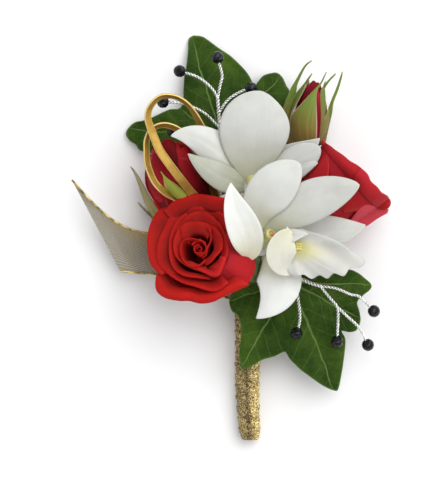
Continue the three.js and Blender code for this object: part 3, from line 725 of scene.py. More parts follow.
def bump(tree: Tree, bsdf: Node, height: object, strength: float, depth: float) -> None:
    """Adds a Bump node that feeds the shader's normal.

    Args:
        tree: the material's tree.
        bsdf: the shader.
        height: the height's socket.
        strength: the bump's strength.
        depth: the height of a full step, in metres.
    """
    made = tree.node("Bump")
    tree.feed_all(made, {"Height": height, "Strength": strength, "Distance": depth})
    tree.feed(bsdf.inputs["Normal"], made.outputs[0])


@dataclass(frozen=True)
class PetalFinish:
    """A soft petal: colours at base and rim, fine streaks along it and a slightly velvety face."""

    name: str
    base: Colour
    rim: Colour
    rim_start: float = 0.35
    rim_end: float = 1.0
    blush: Colour = (0.36, 0.02, 0.038)
    blush_amount: float = 0.0
    blush_range: Pair = (0.75, 1.0)
    streaks: float = 0.25
    across: float = 26.0
    edge: Colour = (0.7, 0.03, 0.03)
    edge_amount: float = 0.0
    finish: Finish = Finish(roughness=0.55, specular=0.05, subsurface=0.12)

    def make(self, groups: Groups) -> Material:
        """Makes the material.

        Args:
            groups: the shared node groups.

        Returns:
            The material.
        """
        tree, bsdf, material = self.finish.shader(self.name)
        tone = tree.group(
            groups.petal, Base=self.base, Rim=self.rim, Rim_start=self.rim_start, Rim_end=self.rim_end,
            Blush=self.blush, Blush_amount=self.blush_amount, Blush_from=self.blush_range[0],
            Blush_to=self.blush_range[1], Streaks=self.streaks, Across=self.across, Edge=self.edge,
            Edge_amount=self.edge_amount,
        )
        tree.feed(bsdf.inputs["Base Color"], tone.outputs["Color"])
        bump(tree, bsdf, tone.outputs["Streak"], strength=0.35, depth=0.0002)
        return material


@dataclass(frozen=True)
class LeafFinish:
    """A leathery ivy leaf: deep mottled green with pale veins and a low gloss."""

    name: str
    base: Pair
    veins: Outline
    deep: Colour = (0.016, 0.04, 0.005)
    fresh: Colour = (0.05, 0.1, 0.011)
    pale: Colour = (0.14, 0.22, 0.06)
    spacing: float = 0.16
    wander: float = 2.4
    finish: Finish = Finish(
        roughness=0.55, specular=0.05, subsurface=0.05, subsurface_radius=(0.3, 1.0, 0.2),
    )

    def vein_place(self, tree: Tree, place: Socket) -> Socket:
        """The place about the leaf's base in millimetres, shifted a little by a slow noise.

        Args:
            tree: the material's tree.
            place: the place on the object, in metres.

        Returns:
            The shifted place.
        """
        about_base = tree.node("Mapping", vector_type="POINT")
        scale, start = (1.0 / MM,) * 3, (-self.base[0] - SHIFT[0], -self.base[1], 0.0)
        tree.feed_all(about_base, {"Vector": place, "Scale": scale, "Location": start})
        warp = tree.node("TexNoise")
        tree.feed_all(warp, {"Vector": about_base.outputs[0], "Scale": 0.12})
        bend = tree.node("VectorMath", operation="MULTIPLY_ADD")
        reach, back = (self.wander, self.wander, 0.0), (-0.5 * self.wander, -0.5 * self.wander, 0.0)
        for socket, value in zip(bend.inputs, (warp.outputs["Color"], reach, back)):
            tree.feed(socket, value)
        moved = tree.node("VectorMath", operation="ADD")
        tree.feed(moved.inputs[0], about_base.outputs[0])
        tree.feed(moved.inputs[1], bend.outputs[0])
        return moved.outputs[0]

    def make(self, groups: Groups) -> Material:
        """Makes the material, with one vein group for each lobe.

        Args:
            groups: the shared node groups.

        Returns:
            The material.
        """
        tree, bsdf, material = self.finish.shader(self.name)
        on_leaf = tree.place()
        place = self.vein_place(tree, on_leaf)
        main, side = 0.0, 0.0
        for angle, length in self.veins:
            spacing = length * self.spacing
            vein = tree.group(groups.vein, Place=place, Angle=angle, Length=length, Spacing=spacing)
            main = tree.maths("MAXIMUM", main, vein.outputs["Main"])
            side = tree.maths("MAXIMUM", side, vein.outputs["Side"])
        mottle = tree.ramp(tree.noise(on_leaf, 90.0, 4.0, 0.6), 0.3, 0.75)
        net = tree.ramp(tree.cells(place, 0.55, "DISTANCE_TO_EDGE").outputs["Distance"], 0.0, 0.12, 1.0, 0.0)
        margin = tree.ramp(tree.surface()[0], 0.975, 0.995, 0.0, 0.45)
        colour = tree.blend(mottle, self.deep, self.fresh)
        for share in (tree.times(net, 0.06), tree.times(side, 0.3), tree.times(main, 0.7), margin):
            colour = tree.blend(share, colour, self.pale)
        tree.feed(bsdf.inputs["Base Color"], colour)
        raised = tree.plus(tree.plus(tree.times(side, 0.5), tree.times(net, 0.2)), main)
        bump(tree, bsdf, raised, strength=0.5, depth=0.0003)
        return material


@dataclass(frozen=True)
class GrainedFinish:
    """A plain finish: two tones mixed by a grain that also stands in low relief."""

    name: str
    finish: Finish
    dark: Colour
    light: Colour
    scale: float
    depth: float

    def make(self) -> Material:
        """Returns the material."""
        tree, bsdf, material = self.finish.shader(self.name)
        grain = tree.noise(tree.place(), self.scale, 4.0, 0.6)
        tree.feed(bsdf.inputs["Base Color"], tree.blend(tree.ramp(grain, 0.3, 0.7), self.dark, self.light))
        bump(tree, bsdf, grain, strength=0.4, depth=self.depth)
        return material


@dataclass(frozen=True)
class BeadFinish:
    """Black glass with a faint blue cast."""

    name: str = "Dark bead"
    finish: Finish = Finish(roughness=0.08, specular=0.28)
    black: Colour = (0.001, 0.001, 0.002)
    blue: Colour = (0.005, 0.006, 0.01)

    def make(self) -> Material:
        """Returns the material."""
        tree, bsdf, material = self.finish.shader(self.name)
        tint = tree.ramp(tree.noise(tree.place(), 260.0, 2.0), 0.3, 0.7)
        tree.feed(bsdf.inputs["Base Color"], tree.blend(tint, self.black, self.blue))
        return material


@dataclass(frozen=True)
class StrapFinish:
    """The loops' strap: satin gold with a painted highlight along each margin."""

    name: str = "Gold strap"
    finish: Finish = Finish(roughness=0.4, metallic=0.45, specular=0.3)
    dark: Colour = (0.31, 0.178, 0.03)
    light: Colour = (0.43, 0.275, 0.055)
    # Colour of the painted highlight along the margins.
    margin: Colour = (0.7, 0.5, 0.19)

    def make(self) -> Material:
        """Makes the material. The share across runs round the strap, twice from margin to margin.

        Returns:
            The material.
        """
        tree, bsdf, material = self.finish.shader(self.name)
        grain = tree.noise(tree.place(), 260.0, 4.0, 0.6)
        colour = tree.blend(tree.ramp(grain, 0.3, 0.7), self.dark, self.light)
        aside = tree.maths("ABSOLUTE", tree.scaled(tree.surface()[1], 2.0, -1.0))
        # Painted highlight: a brighter colour along both margins, where the edge wires catch the light.
        margin = tree.ramp(tree.maths("MAXIMUM", aside, tree.minus(1.0, aside)), 0.93, 0.98)
        tree.feed(bsdf.inputs["Base Color"], tree.blend(margin, colour, self.margin))
        bump(tree, bsdf, grain, strength=0.4, depth=0.00005)
        return material


@dataclass(frozen=True)
class GlitterFinish:
    """The handle's ribbon: metal flakes on dark gold, under the handle's painted light and shade."""

    name: str = "Gold glitter wrap"
    finish: Finish = Finish(roughness=0.4, metallic=0.5, specular=0.6)
    dark: Colour = (0.08, 0.045, 0.01)
    bright: Colour = (1.0, 0.77, 0.32)
    flakes: float = 4400.0

    def make(self, groups: Groups) -> Material:
        """Makes the material.

        Args:
            groups: the shared node groups.

        Returns:
            The material.
        """
        tree, bsdf, material = self.finish.shader(self.name)
        flakes = tree.group(groups.glitter, Dark=self.dark, Bright=self.bright, Scale=self.flakes)
        # The flakes' colour is multiplied by the painted light and shade that the handle's vertices carry.
        tree.feed(bsdf.inputs["Base Color"], tree.shaded(flakes.outputs["Color"], tree.tone()))
        tree.feed(bsdf.inputs["Roughness"], tree.ramp(flakes.outputs["Flake"], 0.0, 1.0, 0.2, 0.6))
        bump(tree, bsdf, flakes.outputs["Height"], strength=0.8, depth=0.00012)
        return material


@dataclass(frozen=True)
class MeshFinish:
    """The ribbon's sheer weave: silver-gold threads with open holes between them."""

    name: str = "Mesh ribbon"
    finish: Finish = Finish(roughness=0.4, metallic=0.35, specular=0.5)
    crosswise: Colour = (0.34, 0.31, 0.23)
    lengthwise: Colour = (0.5, 0.46, 0.36)
    golden: Colour = (0.42, 0.32, 0.12)
    threads_along: float = 84.0
    threads_across: float = 26.0
    fill: float = 0.5

    def make(self, groups: Groups) -> Material:
        """Makes the material: golden towards one edge and worn thin towards the cut end.

        Args:
            groups: the shared node groups.

        Returns:
            The material.
        """
        tree, bsdf, material = self.finish.shader(self.name)
        weave = tree.group(groups.weave, Along=self.threads_along, Across=self.threads_across, Fill=self.fill)
        threads = tree.blend(weave.outputs["Lengthwise"], self.crosswise, self.lengthwise)
        along, across, _ = tree.surface()
        golden = tree.times(tree.ramp(across, 0.45, 1.0), tree.ramp(along, 0.9, 0.4))
        tree.feed(bsdf.inputs["Base Color"], tree.blend(golden, threads, self.golden))
        worn = tree.ramp(along, 0.6, 1.0, 0.5, 0.15)
        tree.feed(bsdf.inputs["Alpha"], tree.ramp(weave.outputs["Mask"], 0.0, 1.0, worn, 1.0))
        bump(tree, bsdf, weave.outputs["Height"], strength=0.8, depth=0.0003)
        return material


WAXY = Finish(0.4, subsurface=0.2)
SILVER_WIRE = GrainedFinish(
    "Silver wire",
    Finish(0.24, 0.7, 0.6),
    (0.7, 0.7, 0.7), (1.0, 1.0, 1.0), 900.0, 0.00003,
)
EDGE_THREAD = GrainedFinish(
    "Gold edge thread",
    Finish(0.35, 0.6, 0.5),
    (0.13, 0.085, 0.02), (0.8, 0.6, 0.2), 520.0, 0.0002,
)
FLORAL_TAPE = GrainedFinish(
    "Floral tape",
    Finish(0.6),
    (0.06, 0.11, 0.03), (0.14, 0.22, 0.06), 300.0, 0.0003,
)
ANTHER_CAP = GrainedFinish("Anther cap", Finish(0.4), (0.35, 0.13, 0.03), (0.6, 0.3, 0.08), 800.0, 0.0002)
ORCHID_COLUMN = GrainedFinish("Orchid column", WAXY, (0.4, 0.4, 0.1), (0.62, 0.62, 0.3), 250.0, 0.0002)
YELLOW_CALLUS = GrainedFinish("Yellow callus", WAXY, (0.6, 0.52, 0.1), (0.74, 0.7, 0.26), 500.0, 0.0003)

GREEN_FLESH = Finish(0.5, specular=0.2, subsurface=0.1, subsurface_radius=(0.4, 1.0, 0.3))
# The dark base paints shade into the hollows, the edge colour is a painted highlight along the rims, and the
# blush is partly the paler petal backs and partly a painted pink sheen on the lightest petals.
ROSE_RED = PetalFinish(
    name="Rose red", base=(0.15, 0.009, 0.008), rim=(0.36, 0.0105, 0.008), rim_start=0.2, rim_end=0.6,
    blush_amount=0.9, edge=(0.5, 0.03, 0.03), edge_amount=0.25,
)
# Base and rim nearly alike; the edge colour is a painted highlight along the rims, and the blush is partly
# the paler petal backs and partly a painted pink sheen on the lightest petals.
ROSE_SCARLET = PetalFinish(
    name="Rose scarlet", base=(0.34, 0.014, 0.02), rim=(0.31, 0.012, 0.014), rim_start=0.3,
    blush=(0.42, 0.05, 0.07), blush_amount=0.9, edge=(0.5, 0.05, 0.05), edge_amount=0.3,
)
# The dark base paints shade into the hollows, the edge colour is a painted highlight along the rims, and the
# blush is partly the paler petal backs and partly a painted pink sheen on the lightest petals.
ROSE_CRIMSON = PetalFinish(
    name="Rose crimson", base=(0.16, 0.004, 0.007), rim=(0.36, 0.011, 0.016), rim_start=0.2, rim_end=0.8,
    blush=(0.5, 0.03, 0.05), blush_amount=0.9, edge=(0.5, 0.06, 0.07), edge_amount=0.4,
)
BUD_CRIMSON = PetalFinish("Bud crimson", (0.1, 0.003, 0.009), (0.19, 0.009, 0.018), 0.3)
# The yellowish base is painted shade near the throat, and the blush paints a duller yellowish shade on the
# tepals with the least painted light.
ORCHID_WHITE = PetalFinish(
    name="Orchid white", base=(0.62, 0.63, 0.45), rim=(0.62, 0.63, 0.6), rim_start=-0.1, rim_end=0.6,
    blush=(0.52, 0.54, 0.34), blush_amount=0.55, blush_range=(0.3, 0.0), streaks=0.03, across=30.0,
    finish=Finish(
        0.42, specular=0.25, subsurface=0.25, subsurface_scale=0.0012, subsurface_radius=(1.0, 0.9, 0.7),
    ),
)
ORCHID_LIP = PetalFinish(
    name="Orchid lip", base=(0.66, 0.62, 0.24), rim=(0.58, 0.58, 0.55), rim_start=0.05, rim_end=0.75,
    blush=(0.52, 0.52, 0.45), blush_amount=0.85, blush_range=(0.55, 0.7), streaks=0.05, across=30.0,
    finish=Finish(
        0.4, specular=0.3, subsurface=0.25, subsurface_scale=0.0012, subsurface_radius=(1.0, 0.9, 0.6),
    ),
)
SEPAL_GREEN = PetalFinish(
    name="Sepal green", base=(0.19, 0.21, 0.03), rim=(0.26, 0.3, 0.045), rim_start=0.1, streaks=0.4,
    across=18.0, edge=(0.4, 0.28, 0.12), edge_amount=0.6, finish=GREEN_FLESH,
)
SEPAL_TAN = PetalFinish(
    name="Sepal tan", base=(0.32, 0.29, 0.1), rim=(0.36, 0.33, 0.19), rim_start=0.1, streaks=0.6,
    across=14.0, edge=(0.14, 0.1, 0.04), edge_amount=0.6,
    finish=Finish(0.55, specular=0.1, subsurface=0.1, subsurface_radius=(0.6, 0.8, 0.3)),
)
BUD_SEPAL = PetalFinish(
    name="Bud sepal", base=(0.22, 0.145, 0.04), rim=(0.135, 0.205, 0.028), rim_start=0.0, rim_end=0.45,
    streaks=0.7, across=14.0, edge=(0.5, 0.34, 0.22), edge_amount=0.85, finish=GREEN_FLESH,
)


# Blooms


class BladeShape(Enum):
    """How wide a blade is along its length.

    An arch is given by its skew towards the tip, the power that makes it full or lean, how fast
    its foot narrows and its least width. The lance has no arch.
    """

    LENS = (0.85, 0.8, 4.0, 0.03)
    FULL = (1.12, 0.66, 3.0, 0.03)
    BROAD = (1.35, 0.55, 2.0, 0.05)
    LANCE = None

    def width(self, u: Array) -> Array:
        """Share of the full width at u, which runs from 0 at the base to 1 at the tip.

        The arch is a power of a sine of a power of u, over a foot that falls in a line. The lance
        falls from near the base to a long point.

        Args:
            u: places along the blade.

        Returns:
            The share of the full width at each.
        """
        if self is BladeShape.LANCE:
            return np.maximum((1.0 - u) ** 0.75 * np.minimum(1.0, 0.6 + 2.0 * u), 0.05)
        skew, power, narrowing, least = self.value
        arch = np.sin(math.pi * u**skew) ** power
        return np.maximum(arch, np.maximum(0.3 * (1.0 - narrowing * u), least))


@dataclass
class Blade:
    """A tepal, lip lobe or sepal along a cubic curve."""

    spine: Path
    width: float
    shape: BladeShape = BladeShape.LENS
    cup: float = 0.0
    roll: Pair = (0.0, 0.0)
    crease: float = 0.14
    rib: float = 0.012
    bulge: float = 0.12
    rows: int = 56
    columns: int = 26
    # Painted light and shade: how light this piece is drawn.
    tone: float = 0.5

    def surface(self) -> Array:
        """The blade's middle surface.

        At u along the spine the blade reaches half its width to each side. Its height over the
        spine is cup times v squared, less a crease near v = 0, plus low ribs along the blade and
        a slow bulge, where v runs from -1 to 1 across it.

        Returns:
            A grid of points, rows along the blade.
        """
        u = np.linspace(0.0, 1.0, self.rows)[:, None]
        v = np.linspace(-1.0, 1.0, self.columns)[None, :]
        a, b, c, d = (np.array(p)[None, :] for p in self.spine)
        middle = (1 - u) ** 3 * a + 3 * u * (1 - u) ** 2 * b + 3 * u**2 * (1 - u) * c + u**3 * d
        tangent = unit((1 - u) ** 2 * (b - a) + 2 * u * (1 - u) * (c - b) + u**2 * (d - c))
        side = unit(np.cross(UP, tangent))
        side, normal = turned_pair(side, np.cross(tangent, side), np.radians(mix(*self.roll, u)))
        share = self.shape.width(u)
        half = 0.5 * self.width * share
        lift = self.cup * share * v**2 - self.crease * share * np.exp(-((v / 0.16) ** 2))
        lift = lift + self.rib * np.cos(9 * math.pi * v) * share
        lift = lift + self.bulge * np.sin(7.0 * u + 3.0 * v + self.width) * share
        aside, up = half[..., None] * v[..., None], lift[..., None]
        return middle[:, None] + aside * side[:, None] + up * normal[:, None]


@dataclass
class Strip:
    """A part of a surface of revolution about a bloom's axis, such as a petal or a hugging sepal."""

    profile: Outline
    angle: float
    half: float
    corner: float = 0.2
    tuck: float = 0.0
    ruffle: float = 0.0
    waves: float = 3.0
    phase: float = 0.0
    pointed: bool = False
    peak: float = 0.0
    cusp: float = 0.0
    cusp_at: float = 0.0
    pinch: float = 0.0
    rows: int = 44
    columns: int = 34

    def surface(self, base: Point, tip: Point) -> Array:
        """The strip's middle surface.

        At v across the strip, from -1 to 1, the strip ends at a share of the profile that falls
        with a power of v, which rounds its upper corners. One edge is tucked in and the other
        stands out, and the rim waves as a sine of v that grows with the cube of u.

        Args:
            base: the bloom's base.
            tip: a point further along its axis.

        Returns:
            A grid of points, rows from base to rim.
        """
        u = np.linspace(0.0, 1.0, self.rows)[:, None]
        v = np.linspace(-1.0, 1.0, self.columns)[None, :]
        reach = u * (1.0 - self.corner * np.abs(v) ** 2.4)
        curve = spline(np.array(self.profile), reach)
        radius, height = curve[..., 0], curve[..., 1]
        if self.pointed:
            half = np.maximum(self.half * BladeShape.LANCE.width(u), 0.12 / np.maximum(radius, 0.5))
        else:
            half = self.half * (0.6 + 0.4 * smoothstep(0.0, 0.55, u))
        wave = self.ruffle * np.sin(self.waves * v + self.phase) * u**3
        fold = self.cusp * np.exp(-(((v - self.cusp_at) / 0.13) ** 2)) * u**7
        crinkle = 0.09 * np.sin(11.0 * v + 5.0 * self.phase) * u**6
        radius = radius * (1.0 - self.pinch * v * v * u) + self.tuck * v * u + wave + fold + crinkle
        height = height + 0.6 * self.ruffle * np.cos(1.7 * self.waves * v + 2.0 * self.phase) * u**3
        height = height + self.peak * np.exp(-((v / 0.3) ** 2)) * u**4 - 0.5 * fold
        across, third, axis = axis_frame(base, tip)
        around = round_circle(self.angle + v * half, across, third)
        return np.asarray(base, float) + radius[..., None] * around + height[..., None] * axis


@dataclass(frozen=True)
class RoundBody:
    """A bloom's outside, as radii at heights along its axis."""

    base: Point
    tip: Point
    outline: Outline

    def level(self, x: Array, y: Array) -> Array:
        """The level of the body's upper side at places on the page.

        It is the axis's level there plus the root of the radius squared less the distance from
        the axis squared, and the axis's level alone beside the body.

        Args:
            x: places across the page.
            y: places up the page.

        Returns:
            The level at each place.
        """
        start = np.array(self.base)
        run = np.array(self.tip) - start
        flat = float(np.hypot(run[0], run[1]))
        along = ((x - start[0]) * run[0] + (y - start[1]) * run[1]) / flat
        aside = ((x - start[0]) * run[1] - (y - start[1]) * run[0]) / flat
        height, radius = spline(np.array(self.outline), np.linspace(0.0, 1.0, 80)).T
        reach = np.interp(along * float(np.linalg.norm(run)) / flat, height, radius)
        return start[2] + along * run[2] / flat + np.sqrt(np.maximum(reach**2 - aside**2, 0.0))


@dataclass(frozen=True)
class Draped:
    """A petal or sepal that is drawn on the page by its two edges and lies over a round body."""

    left: Outline
    right: Outline
    gap: float = 0.5
    crown: float = 0.3
    # Painted light and shade: how light this piece is drawn.
    tone: float = 0.5
    rows: int = 48
    columns: int = 20

    def surface(self, body: RoundBody) -> Array:
        """The sheet's middle surface.

        At u along both edges and v across from the left one, the place on the page is between
        the edges, and the level is the body's with a gap and a crown, a parabola across the sheet.

        Args:
            body: what the sheet lies on.

        Returns:
            A grid of points.
        """
        u = np.linspace(0.0, 1.0, self.rows)
        v = np.linspace(0.0, 1.0, self.columns)[None, :]
        left = spline(np.array(self.left), u)[:, None]
        right = spline(np.array(self.right), u)[:, None]
        place = left + (right - left) * v[..., None]
        width = np.linalg.norm(right - left, axis=-1)
        crown = self.crown * 4.0 * v * (1.0 - v) * np.minimum(width / 4.0, 1.0)
        level = body.level(place[..., 0], place[..., 1]) + self.gap + crown
        return np.concatenate([place, level[..., None]], axis=-1)


@dataclass(frozen=True)
class Petal:
    """One petal of a rose: its direction and half width in degrees, then lengths in millimetres.

    A rose lists them in this order: direction, half width, reach of the rim, height, reach of the
    belly, roll of the rim, how far one edge is tucked in, size of the cusp and its place.
    """

    angle: float
    half: float
    rim: float
    height: float
    belly: float
    roll: float = 0.4
    tuck: float = 0.4
    cusp: float = 0.0
    cusp_at: float = 0.0
    # Painted light and shade: how light this petal is drawn.
    tone: float = 0.5
    corner: float = 0.16
    pinch: float = 0.1


@dataclass(frozen=True)
class RimPetal:
    """One petal of an open rose, drawn by its rim.

    The rim's points are millimetres to the right and up the page from the bloom's middle. The
    heights of the rim and the crest are along the axis, and belly is the share of the rim's reach
    where the crest is, from which the petal spreads outwards.
    """

    rim: Outline
    height: float
    belly: float
    crest: float
    roll: float = 0.2
    # Painted light and shade: how light this petal is drawn.
    tone: float = 0.5
    dip: float = 1.4
    corner: float = 0.06
    wave: float = 0.34
    root: float = 0.16
    rows: int = 46
    columns: int = 48

    def surface(self, base: Point, tip: Point, middle: Pair) -> Array:
        """The petal's middle surface.

        The rim's points are carried from the page to the plane across the axis at the petal's
        height. Each line of the petal rises steeply from a narrow root to the crest at the belly,
        spreads to its point of the rim and rolls outwards and down. Towards both ends the lines
        dip and stop short, so that the next petals cover them.

        Args:
            base: the bloom's base.
            tip: a point further along its axis.
            middle: the bloom's middle on the page.

        Returns:
            A grid of points, rows from root to rim.
        """
        across, third, axis = axis_frame(base, tip)
        u = np.linspace(0.0, 1.0, self.rows)[:, None]
        v = np.linspace(-1.0, 1.0, self.columns)[None, :]
        start = np.array(base)
        page = np.array(middle) + spline(np.array(self.rim), 0.5 * (v[0] + 1.0))
        plane = np.stack([across[:2], third[:2]], axis=1)
        flat = np.linalg.solve(plane, (page - (start + self.height * axis)[:2]).T).T
        distance = np.linalg.norm(flat, axis=1)
        root, belly, crest, height, roll = self.root, self.belly, self.crest, self.height, self.roll
        table = np.array(
            [
                (root, 0.0, 0.0),
                (mix(root, belly, 0.55), 0.34 * crest, 0.0),
                (mix(root, belly, 0.9), 0.8 * crest, 0.0),
                (belly, crest, 0.0),
                (mix(belly, 1.0, 0.5), mix(crest, height, 0.6), 0.0),
                (mix(belly, 1.0, 0.86), mix(crest, height, 0.95), 0.0),
                (1.0, height, 0.0),
                (1.0, height - 0.1 * roll, 0.8 * roll),
                (1.0, height - 0.7 * roll, 1.15 * roll),
                (1.0, height - 1.3 * roll, 1.0 * roll),
            ]
        )
        share, level, out = np.moveaxis(spline(table, u * (1.0 - self.corner * np.abs(v) ** 2.6)), -1, 0)
        reach = share * distance + out + self.wave * np.sin(5.0 * v + 2.3 * height) * share**3
        level = level + self.wave * np.cos(7.0 * v + 2.0 * height) * share**3
        level = level - self.dip * np.abs(v) ** 4 * share**2
        spot = reach[..., None] * (flat / distance[:, None])
        return start + spot[..., :1] * across + spot[..., 1:] * third + level[..., None] * axis


@dataclass
class Rose:
    """A rose: petals round an axis, listed from the middle outwards."""

    name: str
    finish: PetalFinish
    slot: str
    base: Point
    tip: Point
    petals: tuple[Petal, ...]
    core: Outline
    outline: Outline = ()
    draped: tuple[Draped, ...] = ()
    drawn: tuple[RimPetal, ...] = ()
    middle: Pair = (0.0, 0.0)
    ruffle: float = 0.3
    seed: int = 3

    def strip(self, petal: Petal, draw: Array) -> Strip:
        """The strip of surface for one petal.

        Its profile rises from a narrow root to the belly at a little over half the height, flares
        to the rim at the top, and then rolls outwards and down.

        Args:
            petal: the petal.
            draw: two random numbers from 0 to 1 for it.

        Returns:
            The strip.
        """
        root = 0.8 + 0.12 * petal.rim
        height, rim, roll = petal.height, petal.rim, petal.roll
        profile = (
            (root, 0.0),
            (mix(root, petal.belly, 0.7), 0.2 * height),
            (petal.belly, 0.56 * height),
            (mix(petal.belly, rim, 0.24), 0.79 * height),
            (mix(petal.belly, rim, 0.6), 0.92 * height),
            (rim, height),
            (rim + 0.75 * roll, height - 0.1 * roll),
            (rim + 1.05 * roll, height - 0.7 * roll),
            (rim + 0.95 * roll, height - 1.25 * roll),
        )
        return Strip(
            profile=profile,
            angle=math.radians(petal.angle),
            half=math.radians(petal.half),
            corner=petal.corner,
            tuck=petal.tuck,
            ruffle=self.ruffle * min(1.0, 0.3 + rim / 10.0),
            waves=2.0 + 2.5 * draw[0],
            phase=6.0 * draw[1],
            peak=0.03 * rim,
            cusp=petal.cusp,
            cusp_at=petal.cusp_at,
            pinch=petal.pinch,
        )

    def build(self, groups: Groups) -> None:
        """Builds the petals round a core as one piece."""
        mesh = MeshBuilder(self.name + "_bloom")
        draws = np.random.default_rng(self.seed).random((len(self.petals), 2))
        mesh.turned(self.core, self.base, self.tip, sides=20, tone=0.2)
        for petal, draw in zip(self.petals, draws):
            mesh.sheet(self.strip(petal, draw).surface(self.base, self.tip), PETAL_THICKNESS, petal.tone)
        for petal in self.drawn:
            mesh.sheet(petal.surface(self.base, self.tip, self.middle), PETAL_THICKNESS, petal.tone)
        body = RoundBody(self.base, self.tip, self.outline)
        for petal in self.draped:
            mesh.sheet(petal.surface(body), PETAL_THICKNESS, petal.tone)
        mesh.build(self.finish.make(groups), self.name + "_petals", self.slot)


